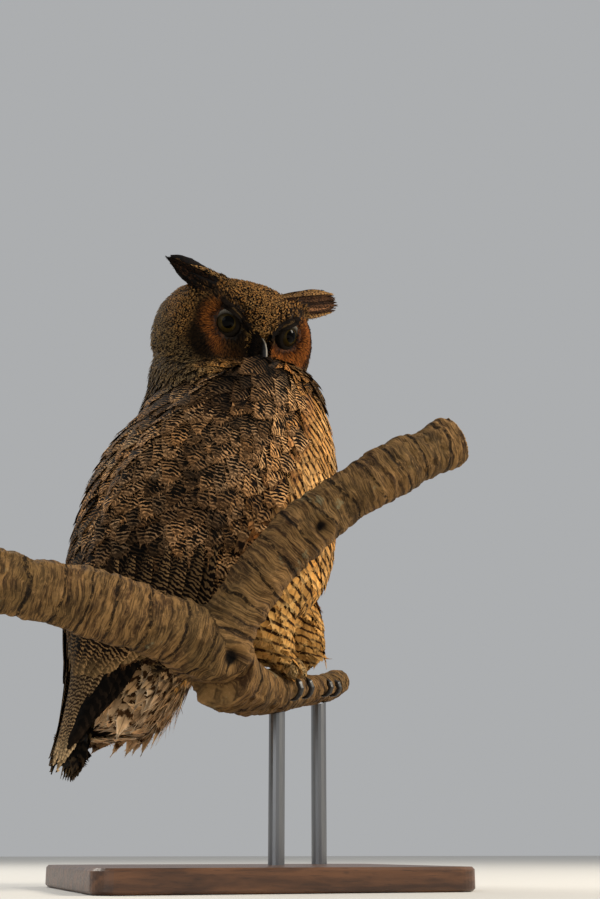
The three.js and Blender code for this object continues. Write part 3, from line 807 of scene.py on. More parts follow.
def scattered(skin, chosen, density, seed):
    """Evenly spaced random places: triangle and corner shares, each its spacing from the rest.

    chosen is the share of places kept at each point of the skin."""
    rng = np.random.default_rng(seed)
    spacing = (skin.weights @ SIZES[:, 0:1]) / density
    a, b, c = (skin.points[skin.triangles[:, i]] for i in range(3))
    area = np.linalg.norm(np.cross(b - a, c - a), axis=1) / 2
    wanted = area / np.mean(spacing[skin.triangles, 0], axis=1) ** 2
    wanted = wanted * (chosen[skin.triangles].mean(axis=1) > 0.02)
    count = int(5 * wanted.sum())
    faces = rng.choice(len(area), count, p=wanted / wanted.sum())
    u, v = rng.random((2, count))
    over = u + v > 1
    u, v = np.where(over, 1 - u, u), np.where(over, 1 - v, v)
    shares = np.stack([1 - u - v, u, v], axis=1)
    places = skin.at(faces, shares, skin.points)
    radii = skin.at(faces, shares, spacing)[:, 0]
    kept = rng.random(count) < skin.at(faces, shares, chosen[:, None])[:, 0]
    tree = KDTree(count)
    for i, place in enumerate(places.tolist()):
        tree.insert(place, i)
    tree.balance()
    is_free = np.ones(count, bool)
    picked = []
    for i in range(count):
        if is_free[i]:
            if kept[i]:
                picked.append(i)
            for _, j, _ in tree.find_range(places[i], radii[i]):
                is_free[j] = False
    return faces[picked], shares[picked]


# ---------------------------------------------------------------- vanes

# place holds, at each point, how far across it lies (-1 to 1), how far along (in metres), and
# the share of the way to the tip. owner is the number of the feather that a point belongs to.
Vanes = namedtuple("Vanes", "points faces place seed owner")
QUILL = 0.28  # a vane's width at its root, as a share of its full width


def between(values, s):
    """The curve through a first, a middle and a last value, at a share s of the way."""
    first, middle, last = (value[:, None, None, :] for value in values)
    return first * (1 - s) * (1 - 2 * s) + 4 * middle * s * (1 - s) + last * s * (2 * s - 1)


def make_vanes(line, normals, widths, rng, rows, columns, **shape):
    """One thin blade for each root, bent through its mid point to its tip.

    line holds the roots, mid points and tips, and normals the surface's normals there."""
    taper = shape.get("taper", 0.35)
    rounding = shape.get("rounding", 0.28)
    gutter = shape.get("gutter", 0.12)
    ragged = shape.get("ragged", 0.06)
    belly = shape.get("belly", 0.55)
    count = len(widths)
    along = np.linspace(0, 1, rows + 1)
    across = np.linspace(-1, 1, columns + 1)
    t = along[:, None] * (1 - rounding * across[None, :] ** 2 * along[:, None])
    t = np.broadcast_to(t, (count, rows + 1, columns + 1))
    jitter = rng.normal(0, ragged, (count, columns + 1)) * (np.abs(across) > 0.3)
    t = t + jitter[:, None, :] * smoothstep(t, 0.55, 1.0)
    s = t[..., None]
    centre = between(line, s)
    r, m, e = (values[:, None, None, :] for values in line)
    ahead = unit(r * (4 * s - 3) + 4 * m * (1 - 2 * s) + e * (4 * s - 1))
    up = between(normals, s)
    up = unit(up - dot(up, ahead) * ahead)
    side = np.cross(ahead, up)
    swell = QUILL + (1 - QUILL) * np.sin(0.5 * math.pi * np.minimum(t / belly, 1))
    swell = swell * (1 - taper * smoothstep(t, belly, 1.0))
    half = swell * (widths / 2)[:, None, None]
    shift = (across[None, None, :] * half)[..., None]
    drop = (gutter * across[None, None, :] ** 2 * half)[..., None]
    points = centre + side * shift - up * drop
    roots, mids, tips = line
    length = np.linalg.norm(tips - mids, axis=1) + np.linalg.norm(mids - roots, axis=1)
    along = np.broadcast_to(along[:, None], t.shape)
    across = np.broadcast_to(across, t.shape)
    place = np.stack([across, t * length[:, None, None], along], axis=-1)
    grid = np.arange((rows + 1) * (columns + 1)).reshape(rows + 1, columns + 1)
    quads = np.stack([grid[:-1, :-1], grid[:-1, 1:], grid[1:, 1:], grid[1:, :-1]], axis=-1)
    faces = quads.reshape(1, -1, 4) + (np.arange(count) * grid.size)[:, None, None]
    owner = np.repeat(np.arange(count), grid.size)
    seed = rng.random(count)
    whole = Vanes(points.reshape(-1, 3), faces.reshape(-1, 4), place.reshape(-1, 3), seed, owner)
    barbs = shape.get("barbs", 0)
    if not barbs:
        return whole
    return with_barbs(whole, points, place, up, barbs, shape.get("reach", 0.1), length, rng)


BARB_WIDTH = 0.028  # of a loose barb's base, as a share of the feather's length
BARB_ROOT = 0.25  # the share of a barb that lies on the vane


def with_barbs(vanes, points, place, up, barbs, reach, length, rng):
    """Loose barbs, as narrow blades, round the outer edges of each vane."""
    count, rows, columns = points.shape[:3]
    start = rows // 2
    path = [(i, 0) for i in range(start, rows)]
    path += [(rows - 1, j) for j in range(1, columns)]
    path += [(i, columns - 1) for i in range(rows - 2, start - 1, -1)]
    row, column = np.array(path).T
    edge, edge_place, edge_up = points[:, row, column], place[:, row, column], up[:, row, column]
    middle = points[:, row - 2, columns // 2]
    at = rng.random((count, barbs)) * (len(path) - 1.001)
    low = at.astype(int)
    part = (at - low)[..., None]
    each = np.arange(count)[:, None]
    base = edge[each, low] * (1 - part) + edge[each, low + 1] * part
    heart = middle[each, low] * (1 - part) + middle[each, low + 1] * part
    along_edge = unit(edge[each, low + 1] - edge[each, low])
    away = unit(base - heart) - edge_up[each, low] * 0.12
    away = unit(away + rng.normal(0, 0.10, away.shape))
    size = length[:, None, None] * reach * rng.uniform(0.5, 1.3, (count, barbs, 1))
    half = BARB_WIDTH / 2 * length[:, None, None]
    base = base - away * size * BARB_ROOT
    tip = base + away * size * (1 + BARB_ROOT)
    corners = [base - along_edge * half, base + along_edge * half]
    corners += [tip + along_edge * half * 0.15, tip - along_edge * half * 0.15]
    extra = np.stack(corners, axis=2).reshape(-1, 3)
    extra_place = np.repeat(edge_place[each, low].reshape(-1, 3), 4, axis=0)
    faces = np.arange(len(extra)).reshape(-1, 4) + len(vanes.points)
    return Vanes(
        np.concatenate([vanes.points, extra]),
        np.concatenate([vanes.faces, faces]),
        np.concatenate([vanes.place, extra_place]),
        vanes.seed,
        np.concatenate([vanes.owner, np.repeat(np.arange(count), barbs * 4)]),
    )


# The breast's bars are this far apart, in mm, at these distances along its lie, also in mm.
BAR_PLACES = [-330, -210, -120, -20, 150]
BAR_STEPS = [4.4, 4.6, 5.6, 7.2, 8.0]


def bar_count(points):
    """How many bars lie above each place: the breast's bars run on from feather to feather."""
    height = points[:, 2] - FEET_CENTRE[2]
    slope = 0.2 + 0.9 * smoothstep(height, 0.0, 0.19)
    flow = (slope * (points[:, 1] - FEET_CENTRE[1]) - height) / np.hypot(1, slope)
    table = np.arange(BAR_PLACES[0], BAR_PLACES[-1], 1.0)
    counts = np.cumsum(1 / np.interp(table, BAR_PLACES, BAR_STEPS))
    return np.interp(flow / MM, table, counts)


BRIGHTEST = 0.75  # the log of the most that a feather's colour is brightened
PATCHES, BACK_PATCHES = 0.5, 3.0  # how strongly broad patches vary the plumage, and the back


def weight_of(weights, *names):
    """The share that the named regions have together."""
    return weights[:, [REGION_OF[name] for name in names]].sum(axis=1)


def plumage_at(weights, roots, rng):
    """The colours and bars of feathers with these roots."""
    patch = noise(roots, 26 * MM, 3) + 0.6 * noise(roots, 11 * MM, 5) - 0.8
    # Painted light: the mantle and coverts are painted paler along the mantle's front edge and
    # higher up towards the shoulders, and a little darker elsewhere.
    is_back = weight_of(weights, "mantle", "coverts", "collar")
    height = height_of(roots)
    edge = np.interp(height, MANTLE_HEIGHTS, MANTLE_EDGE)
    pale = 0.7 * bell(bearing_of(roots) - edge - 10, 20) + 0.5 * smoothstep(height, 120, 230)
    pale = (pale - 0.25) * weight_of(weights, "mantle", "coverts")
    patch = (PATCHES + BACK_PATCHES * is_back) * patch + pale - 0.12 * is_back
    shade = rng.normal(0, 0.16, (len(roots), 1)) + patch[:, None]
    shade = np.exp(np.minimum(shade, BRIGHTEST))
    warm = 1 + 0.12 * rng.normal(0, 1, (len(roots), 1)) * np.array([0.4, 0, -0.6])
    ground, marking, tip = (weights @ values for values in (GROUNDS, MARKINGS, TIPS))
    return ground * shade * warm, marking * shade**0.5, tip * shade * warm, weights @ BARS


def carry_looks(mesh, vanes, looks, offset, lit):
    """Gives each point of the vanes the values that their material reads."""
    colours = dict(zip(("ground", "marking", "tip"), looks))
    each = dict(seed=vanes.seed, offset=offset, pattern=looks[3])
    each.update({key: np.clip(values, 0, 1) for key, values in colours.items()})
    add_values(mesh, place=vanes.place, lit=lit)
    add_values(mesh, **{key: values[vanes.owner] for key, values in each.items()})


# Painted shade along each feather, darkest at its root where the feathers above shade it: how
# brightly it is painted at its root, as a share of its tip: most, and those whose bars run on.
ROOT_PAINTED_LIGHT, BARRED_ROOT_PAINTED_LIGHT = 0.2, 0.55
# Between these shares of its length the painted shade fades out.
FULL_PAINTED_LIGHT = (0.3, 0.9)  # the shares of its length between which it grows to its full lightness


def coat_piece(name, vanes, looks, places, material, slot_name, aligned):
    """A piece of plumage from its vanes, their looks and their places on the skin's map.

    The bars of aligned feathers run on from one to the next."""
    mesh = new_mesh(name, vanes.points, vanes.faces)
    offset = np.where(aligned, (vanes.seed - 0.5) * 0.14, vanes.seed * 57)
    # Painted shade: each feather is painted darker towards its root.
    least = np.where(aligned, BARRED_ROOT_PAINTED_LIGHT, ROOT_PAINTED_LIGHT)[vanes.owner]
    share = smoothstep(vanes.place[:, 2], *FULL_PAINTED_LIGHT)
    lit = least * (1 - share) + share
    is_level = aligned[vanes.owner]
    counts = bar_count(vanes.points[is_level])
    vanes.place[is_level, 1] = counts * looks[3][vanes.owner][is_level, 0]
    carry_looks(mesh, vanes, looks, offset, lit)
    add_places(mesh, places[vanes.owner] + patches(vanes))
    finished(new_object(mesh), material)


PATCH = 0.003  # a feather's share of the skin's map, across


def patches(vanes):
    """Where each point of a feather lies in its own patch of the skin's map."""
    return PATCH * np.stack([vanes.place[:, 0] / 2, vanes.place[:, 2] - 0.5], axis=1)


def lay(skin, chosen, seed, rows, columns, density=1.0, stretch=1.0, thin=1.0, **shape):
    """Feathers over the chosen part of the skin.

    Gives their vanes, looks and places on the map, and which have bars that run on."""
    rng = np.random.default_rng(seed + 1)
    faces, shares = scattered(skin, chosen, density, seed)
    count = len(faces)
    roots = skin.at(faces, shares, skin.points)
    up = unit(skin.at(faces, shares, skin.normals))
    lie = unit(skin.at(faces, shares, skin.lie))
    weights = skin.at(faces, shares, skin.weights)
    sizes = weights @ SIZES
    length = sizes[:, 1] * rng.uniform(0.85, 1.15, count) * stretch
    width = sizes[:, 2] * rng.uniform(0.85, 1.15, count) * thin
    depth = np.minimum(sizes[:, 3], skin.at(faces, shares, skin.depth)[:, 0] * 1.1 + 0.6 * MM)
    swing = rng.normal(0, shape.pop("swing", 0.10), (count, 1))
    ahead = unit(lie + np.cross(up, lie) * swing)
    half = (length / 2)[:, None]

    middle, middle_faces, _ = nearest(skin.tree, roots + ahead * half)
    middle_up = skin.normals_at(middle_faces)
    onward = unit(ahead - dot(ahead, middle_up) * middle_up)
    guess = middle + onward * half
    end, end_faces, gap = nearest(skin.tree, guess)
    end_up = skin.normals_at(end_faces)
    is_free = (gap > 0.3 * length)[:, None]
    end = np.where(is_free, guess, end)
    end_up = np.where(is_free, middle_up, end_up)
    rise = shape.pop("rise", 1.0)
    lift = (depth * rise * rng.uniform(0.75, 1.1, count))[:, None]
    mids = middle + middle_up * lift * 0.55
    tips = end + end_up * lift
    starts = roots - up * 0.6 * MM
    line, normals = (starts, mids, tips), (up, middle_up, end_up)
    vanes = make_vanes(line, normals, width, rng, rows, columns, **shape)
    looks = plumage_at(weights, roots, rng)
    places = np.einsum("nk,nkc->nc", shares, skin.corner_places[faces])
    return vanes, looks, places, weight_of(weights, "flank", "breast", "belly", "leg") > 0.5


# ---------------------------------------------------------------- the coat


def on_nodes(skin, *names):
    return np.isin(skin.labels, [FLESH.index(name) for name in names]).astype(float)


def clear_of(skin, name, distance):
    """0 where the skin is within a distance of a hard part such as the bill, else 1."""
    return (nearest(solid_tree(name), skin.points)[2] > distance).astype(float)


BACK = dict(
    rows=8, columns=4, barbs=36, reach=0.07, swing=0.2, rise=1.3, rounding=0.42, density=1.15
)
LARGE = dict(rows=8, columns=4, barbs=32, reach=0.08)
SHAGGY = dict(
    rows=8, columns=4, barbs=30, reach=0.04, taper=0.9, rise=1.2, ragged=0.02, swing=0.06,
    density=1.4,
)
WISP = dict(
    rows=6, columns=1, taper=0.85, rounding=0.0, gutter=0, ragged=0.03, rise=2.2, swing=0.35,
    density=2.2, stretch=0.95, thin=0.12,
)
SMALL = dict(rows=6, columns=4, barbs=14, reach=0.12, rounding=0.4)
TINY = dict(rows=4, columns=2)
HAIR = dict(
    rows=5, columns=2, ragged=0.02, rounding=0.2, taper=0.92, belly=0.3, gutter=0.2,
    density=2.1, thin=0.8,
)
# name of the piece, material slot, where it grows, and the grid of each of its vanes
SHEETS = [
    ("coat_mantle", "plumage_body", ["mantle", "rump"], BACK),
    ("coat_breast", "plumage_body", ["breast", "belly", "flank"], LARGE),
    ("coat_vent", "plumage_body", ["vent"], SHAGGY),
    ("coat_shaded_underside", "plumage_flight", ["under"], LARGE),
    ("coat_collar", "plumage_head", ["collar", "bib"], LARGE),
    ("coat_crown", "plumage_head", ["crown", "nape"], SMALL),
    ("coat_discs", "plumage_head", ["disc", "orbit", "rim", "brow", "lore"], HAIR),
    ("coat_brows", "plumage_tuft", ["tuft"], SMALL),
    ("coat_legs", "plumage_leg", ["leg"], LARGE),
    ("coat_feet", "plumage_leg", ["toe"], TINY),
]
# The skin stays bare within these distances of the hard parts.
BARE = {
    "perch": 2.5 * MM, "bill": 1.5 * MM, "eye_right": 2.2 * MM, "eye_left": 2.2 * MM,
}


def make_coat(skin, material):
    """The small feathers of every region, without the wings' and tail's long ones."""
    bare = np.prod([clear_of(skin, name, reach) for name, reach in BARE.items()], axis=0)
    height, bearing = height_of(skin.points), bearing_of(skin.points)
    trunk = on_nodes(skin, "trunk")
    fluff = trunk * smoothstep(-height, 0, 10) * smoothstep(height, -75, -60)
    fluff = fluff * smoothstep(-bearing, -132, -122)
    *laid, aligned = lay(skin, fluff * bare, 31, **WISP)
    coat_piece("coat_fluff", *laid, material, "plumage_body", np.zeros_like(aligned))
    skirt = trunk * smoothstep(height, 0, 12) * smoothstep(-height, -50, -35)
    skirt = skirt * smoothstep(-bearing, -110, -95)
    *laid, aligned = lay(skin, skirt * bare, 33, stretch=1.5, **LARGE)
    coat_piece("coat_skirt", *laid, material, "plumage_body", aligned)

    wings = on_nodes(skin, "wing_right", "wing_left")
    body = 1 - wings - on_nodes(skin, "ear_tuft_right", "ear_tuft_left")
    sheets = []
    for name, slot_name, regions, grid in SHEETS:
        sheets.append((name, slot_name, weight_of(skin.weights, *regions) * body, grid))
    for side in SIDES:
        chosen = on_nodes(skin, f"wing_{side}") * smoothstep(height, 6, 28)
        sheets.append((f"coat_wing_{side}", "plumage_wing", chosen, BACK))
    taken = np.zeros(len(skin.points))
    for seed, (name, slot_name, share, grid) in enumerate(sheets, 11):
        chosen = np.clip(share, 0, 1 - taken) * bare
        taken = np.clip(taken + share, 0, 1)
        *laid, aligned = lay(skin, chosen, seed, **grid)
        coat_piece(name, *laid, material, slot_name, aligned)


# ---------------------------------------------------------------- long feathers


def looks_of(region_name, count, rng, **changes):
    """Colours and bars of a number of feathers of one region, with some changed."""
    region = REGIONS[REGION_OF[region_name]]._replace(**changes)
    shade = np.exp(rng.normal(0, 0.12, (count, 1)))
    colours = [colour(code) * shade for code in (region.ground, region.marking, region.tip)]
    bars = np.tile([region.period * MM, region.duty, region.wobble], (count, 1))
    return (*colours, bars)


def long_piece(name, vanes, looks, material, skin=None, roots=None, open_side=0):
    """A fan of long feathers. Each has a strip of the map to itself, laid out along it.

    Where the skin is given, each has a patch at its root's place on the skin's map instead.
    open_side is the side of each feather, 1 or -1, that the next one leaves uncovered."""
    mesh = new_mesh(name, vanes.points, vanes.faces)
    across, _, fraction = vanes.place.T
    # Painted shade: darker towards the root, darker at both edges where no open side is given, and
    # otherwise darker where the next feather covers it. It is also brighter along its uncovered
    # edge.
    lit = 0.55 + 0.45 * smoothstep(fraction, *FULL_PAINTED_LIGHT)
    if open_side:
        lit = lit * (1 - 0.65 * smoothstep(-across * open_side, -0.45, 0.3))
        lit = lit * (1 + 0.7 * smoothstep(across * open_side, 0.75, 0.95))
    else:
        lit = lit * (1 - 0.6 * smoothstep(np.abs(across), 0.55, 1.0))
    carry_looks(mesh, vanes, looks, vanes.seed * 57, lit)
    if skin is None:
        strip = (vanes.owner + 0.5 + 0.45 * across) / len(vanes.seed)
        add_places(mesh, np.stack([strip, 0.02 + 0.96 * fraction], axis=1))
    else:
        add_places(mesh, skin.place_of(roots)[vanes.owner] + patches(vanes))
    finished(new_object(mesh), material)


def short_piece(name, kind, line, normals, widths, rng, grid, changes, skin, material):
    """Small feathers of one kind about the face, set out one by one."""
    vanes = make_vanes(line, normals, widths, rng, **grid)
    looks = looks_of(kind, len(widths), rng, **changes)
    long_piece(name, vanes, looks, material, skin, line[0])


class FlatSolid:
    """A flat solid's middle, its axes (along, across, through) and its reach along each."""

    def __init__(self, node, ahead, upper_axis, upwards):
        points = points_of(NODES[node].data)
        middle = (points.min(axis=0) + points.max(axis=0)) / 2
        ahead = unit(np.array(ahead))
        rest = points - middle
        flat = rest - dot(rest, ahead) * ahead
        _, axes = np.linalg.eigh(flat.T @ flat)
        across = unit(axes[:, 2] - np.dot(axes[:, 2], ahead) * ahead)
        axes = np.array([ahead, across, np.cross(ahead, across)])
        local = rest @ axes.T
        low, high = local.min(axis=0), local.max(axis=0)
        self.middle = middle + ((low + high) / 2) @ axes
        self.reach = (high - low) / 2
        if axes[upper_axis] @ upwards < 0:
            axes = axes * np.array([[1], [-1], [-1]])
        self.axes = axes

    def at(self, along, across, through):
        """Points at these shares of the reach."""
        shares = np.stack(np.broadcast_arrays(along, across, through), axis=1)
        return self.middle + (shares * self.reach) @ self.axes


TUFT_FEATHERS = 54
TUFT_GRID = dict(
    rows=10, columns=4, taper=0.75, rounding=0.1, ragged=0.02, barbs=20, reach=0.045, gutter=0.3
)
# How each tuft ends: the share of its width kept at the tip, and how uneven its ends are.
TUFT_ENDS = {"right": (0.34, 0.5), "left": (0.8, 0.26)}
# Where across each tuft its pale feathers begin and are full: the right one's lie along its
# upper edge, the left one's along both.
PALE_EDGE = {"right": (0.45, 0.8), "left": (0.8, 0.96)}
TUFT_COLOURS = {"right": ("#3a2414", "#0b0704"), "left": ("#5e4029", "#26170d")}
PALE_TUFT, PALE_TUFT_TIP = colour("#b98c55"), colour("#9a7442")
TUFT_DARKNESS = {"right": 0.78, "left": 0.55}


def make_tufts(skin, material):
    """Each ear tuft is a bundle of narrow feathers, dark, with pale feathers along its edge."""
    for number, name in enumerate(SIDES):
        rng = np.random.default_rng(70 + number)
        solid = FlatSolid(f"ear_tuft_{name}", tuft_axis(name), 1, HEAD_AXES[:, 2])
        kept, uneven = TUFT_ENDS[name]
        count = TUFT_FEATHERS
        place = np.linspace(-1, 1, count)
        layer = rng.uniform(-1, 1, count)
        start = rng.uniform(-1.2, -0.6, count) - 0.5 * place**2
        end = 0.98 - uneven * np.abs(place + 0.1) ** 1.5 - rng.uniform(0, 0.14, count)
        spread = place * 0.78
        roots = solid.at(start, spread * 0.6, layer * 0.5)
        tips = solid.at(end, spread * kept + rng.normal(0, 0.04, count), layer * 0.6)
        mids = solid.at((start + end) / 2, spread * (0.75 + 0.25 * kept), layer * 0.9)
        tilt = rng.normal(0.1, 0.35, (count, 1))
        _, across, through = solid.axes
        normals = [unit(through * np.sign(layer + 0.01)[:, None] + tilt * across)] * 3
        widths = rng.uniform(3.8, 6.0, count) * MM
        vanes = make_vanes((roots, mids, tips), normals, widths, rng, **TUFT_GRID)
        dark, darker = TUFT_COLOURS[name]
        changes = dict(ground=dark, marking=darker, tip=darker, period=5.0, wobble=3.0)
        ground, marking, tip, bars = looks_of("tuft", count, rng, **changes)
        shade = np.exp(rng.normal(0, 0.35, (count, 1)))
        edge = place if name == "right" else np.abs(place)
        pale = (smoothstep(edge, *PALE_EDGE[name]) * 0.85)[:, None]
        ground = ground * shade * (1 - pale) + PALE_TUFT * pale
        tip = tip * shade * (1 - pale) + PALE_TUFT_TIP * pale
        bars[:, 1] = TUFT_DARKNESS[name] * (1 - 0.55 * pale[:, 0])
        looks = (ground, marking * shade, tip, bars)
        long_piece(f"tuft_{name}", vanes, looks, material, skin, roots)


# Heights of the body's upright axis, in mm from the feet, and how far back it lies there.
AXIS_HEIGHTS = [-94, -70, -38, -4, 30, 72, 151, 226, 274]
AXIS_BACK = [193, 173, 155, 136, 110, 88, 76, 58, 56]


class WingFace:
    """A folded wing's outer face, found by height and by the share of the way to its rear edge."""

    LEVELS = 18
    LEVEL_REACH = 13  # how far above and below each level its edges are looked for, in mm
    OUTSIDE = 0.3  # from the body's axis to where the rays start, in metres

    def __init__(self, name):
        mesh = NODES[f"wing_{name}"].data
        points, triangles = points_of(mesh), triangles_of(mesh)
        self.tree = tree_of(points, triangles)
        self.side = SIDES[name]
        shares = np.random.default_rng(5).dirichlet((1, 1, 1), 40)
        inner = np.einsum("sk,nkc->nsc", shares, points[triangles]).reshape(-1, 3)
        height = height_of(inner)
        x = self.side * (inner[:, 0] - FEET_CENTRE[0])
        bearing = np.arctan2(x, self.axis_back(height) - inner[:, 1])
        self.levels = np.linspace(height.min(), height.max(), self.LEVELS)
        near = [bearing[np.abs(height - level) < self.LEVEL_REACH] for level in self.levels]
        self.front = np.array([values.min() for values in near])
        self.rear = np.array([values.max() for values in near])

    def axis_back(self, height):
        return np.interp(height, AXIS_HEIGHTS, AXIS_BACK) * MM + FEET_CENTRE[1]

    def at(self, place, lift):
        """Points on the face, "lift" above it, and the way it faces there."""
        share, height = place.T
        front = np.interp(height, self.levels, self.front)
        rear = np.interp(height, self.levels, self.rear)
        bearing = front + (rear - front) * share
        level = np.zeros(len(bearing))
        outward = np.stack([self.side * np.sin(bearing), -np.cos(bearing), level], axis=1)
        up = height * MM + FEET_CENTRE[2]
        axis = np.stack([level + FEET_CENTRE[0], self.axis_back(height), up], axis=1)
        places = []
        for start, away in zip(axis.tolist(), outward.tolist()):
            origin = Vector(start) + Vector(away) * self.OUTSIDE
            hit = self.tree.ray_cast(origin, -Vector(away))
            if hit[0] is None:
                hit = self.tree.find_nearest(origin)
            places.append(hit[0])
        return np.array(places) + outward * lift[:, None], outward


# Each set of flight feathers runs from the wing's front edge (share 0) to its rear edge (1);
# roots and tips are (share, height) there, in mm, for its first and last feather.
FlightSet = namedtuple("FlightSet", "name count roots tips lifts width kind looks")
PRIMARY = dict(
    ground="#d6ae7c", marking="#4d3925", tip="#d8b88a", period=3.4, duty=0.5, wobble=1.8
)
SECONDARY = dict(
    ground="#92714a", marking="#160e08", tip="#97784f", period=3.4, duty=0.56, wobble=2.0
)
FLIGHT_SETS = [
    # The inner primaries take the near-black colours of painted shade.
    FlightSet(
        "shaded_inner_primaries", 6, [(0.06, 26), (0.5, 36)], [(0.04, -34), (0.2, -74)], (0.3, 0.8),
        18, "under", {},
    ),
    FlightSet(
        "primaries", 7, [(0.6, 44), (0.95, 44)], [(0.14, -84), (0.9, -80)], (1.0, 2.4),
        13.5, "coverts", PRIMARY,
    ),
    FlightSet(
        "secondaries", 9, [(0.1, 90), (0.88, 72)], [(0.04, 2), (0.93, -10)], (2.0, 3.4),
        28, "coverts", SECONDARY,
    ),
]
FLIGHT_GRID = dict(
    rows=16, columns=6, taper=0.55, rounding=0.07, ragged=0.006, gutter=0.22, barbs=24, reach=0.01
)
WING_SAG = 12  # how much further down the middle feathers of a set reach, in mm


def make_wings(material):
    """Primaries reach the wing's tip; secondaries overlap them and form its lower edge."""
    for number, (name, side) in enumerate(SIDES.items()):
        rng = np.random.default_rng(80 + number)
        face = WingFace(name)
        for part in FLIGHT_SETS:
            share = np.linspace(0, 1, part.count)[:, None]
            roots, tips = (
                np.array(ends[0]) * (1 - share) + np.array(ends[1]) * share
                for ends in (part.roots, part.tips)
            )
            tips[:, 1] -= WING_SAG * np.sin(math.pi * share[:, 0]) + rng.uniform(-2, 2, part.count)
            lifts = np.linspace(*part.lifts, part.count) * MM
            widths = np.full(part.count, part.width * MM)
            places = ((roots, 0.3), ((roots + tips) / 2, 0.8), (tips, 1.0))
            line, normals = zip(*(face.at(place, lifts * rise) for place, rise in places))
            vanes = make_vanes(line, normals, widths, rng, **FLIGHT_GRID)
            looks = looks_of(part.kind, part.count, rng, **part.looks)
            title = f"{part.name}_{name}"
            long_piece(title, vanes, looks, material, open_side=side)


TAIL_FEATHERS = 12
TAIL_AHEAD = (0.0, 0.19, -0.98)
TAIL_WIDTH = 30 * MM
TAIL_GRID = dict(
    rows=16, columns=6, taper=0.3, rounding=0.08, ragged=0.006, gutter=0.08, barbs=30, reach=0.012
)


def make_tail(material):
    """Twelve broad barred feathers, the middle pair uppermost."""
    rng = np.random.default_rng(90)
    solid = FlatSolid("tail", TAIL_AHEAD, 2, np.array([0, 1, 0]))
    place = np.linspace(-1, 1, TAIL_FEATHERS)
    lift = ((1 - np.abs(place)) * 2 - 1) * 0.6
    roots = solid.at(-1.5, place * 0.35, lift * 0.6)
    mids = solid.at(-0.3, place * 0.55, lift + 1.0 * MM / solid.reach[2])
    tips = solid.at(0.98 - 0.08 * np.abs(place), place * 0.68, lift)
    _, across, through = solid.axes
    normals = [unit(through + 0.25 * place[:, None] * across)] * 3
    widths = np.full(TAIL_FEATHERS, TAIL_WIDTH)
    vanes = make_vanes((roots, mids, tips), normals, widths, rng, **TAIL_GRID)
    looks = looks_of("tail", TAIL_FEATHERS, rng, period=13.0, duty=0.6, ground="#6b5537")
    long_piece("tail_feathers", vanes, looks, material)


def make_skin_piece(skin):
    mesh = skin.object.data
    add_values(mesh, ground=skin.weights @ GROUNDS, marking=skin.weights @ MARKINGS)
    finished(skin.object, skin_material(), FLESH)


# ---------------------------------------------------------------- eyes and lids


def revolved(name, profile, axes, centre, sides=56):
    """A form turned round the axis of an eye from (radius, height) pairs, pole to pole."""
    angles = np.linspace(0, 2 * math.pi, sides, endpoint=False)
    radius, height = np.array(profile).T
    ring = np.stack([np.cos(angles), np.zeros(sides), np.sin(angles)], axis=1)
    points = ring[None] * radius[:, None, None] + np.array([0, 1, 0]) * height[:, None, None]
    grid = np.arange(len(profile) * sides).reshape(len(profile), sides)
    after = np.roll(grid, -1, axis=1)
    quads = np.stack([grid[:-1], after[:-1], after[1:], grid[1:]], axis=-1)
    mesh = new_mesh(name, points.reshape(-1, 3) @ axes.T + centre, quads.reshape(-1, 4))
    shape = bmesh.new()
    shape.from_mesh(mesh)
    bmesh.ops.remove_doubles(shape, verts=shape.verts, dist=1e-6)
    bmesh.ops.recalc_face_normals(shape, faces=shape.faces)
    middle = Vector(centre)
    facing = sum(face.normal.dot(face.calc_center_median() - middle) for face in shape.faces)
    if facing < 0:
        bmesh.ops.reverse_faces(shape, faces=shape.faces)
    shape.to_mesh(mesh)
    shape.free()
    return mesh


def iris_material():
    """A wet eye: an olive-gold ring darkened as painted shade, with fine spokes round a black
    pupil.
    """
    s = Shader("eye_ball", Specular_IOR_Level=0.05)
    x, _, z = s.split(s.attribute("eye_place", "Vector"))
    squares = s.plus(s.times(x, x), s.times(z, z))
    radius = s.math("DIVIDE", s.math("SQRT", squares), IRIS_RADIUS)
    spokes = s.combine(s.times(s.math("ARCTAN2", x, z), 9.0), radius, 0.0)
    spokes = s.noise(spokes, 2.0, 3.0)
    share = PUPIL_RADIUS / IRIS_RADIUS
    # The ring's colours are dark, as painted shade over the iris.
    ring = s.mix(spokes, "#1d1708", "#43350f")
    ring = s.mix(s.ramp(radius, share, 0.85), ring, "#292010")
    ring = s.mix(s.ramp(radius, 0.86, 1.0), ring, "#0b0805")
    # The brow shades the upper part of the iris.
    shade = s.ramp(z, 0.1 * IRIS_RADIUS, 0.8 * IRIS_RADIUS, 1.0, 0.45)
    ring = s.dimmed(ring, shade)
    base = s.mix(s.ramp(radius, share - 0.02, share + 0.02), "#020202", ring)
    return s.paint(base, s.ramp(spokes, 0.0, 1.0, 0.03, 0.06))


def lid_material():
    s = Shader("lid", Specular_IOR_Level=0.08)
    fine = s.noise(s.position(), 900.0, 3.0)
    above = s.attribute("upper")
    base = s.mix(s.ramp(fine, 0.35, 0.65), "#0d0a07", "#17110a")
    pale = s.mix(fine, "#57524a", "#7d776c")
    base = s.mix(above, base, pale)
    return s.paint(base, 0.85, s.bump(fine, 0.5, 0.3 * MM))


LID_OPENING = 37  # degrees off the eye's axis, below
LID_DROOP = 14  # how much less, above
LID_TURN = math.radians(38)  # the droop is greatest towards the bill
LID_EDGE = math.radians(88)  # where the ring of skin ends, off the eye's axis


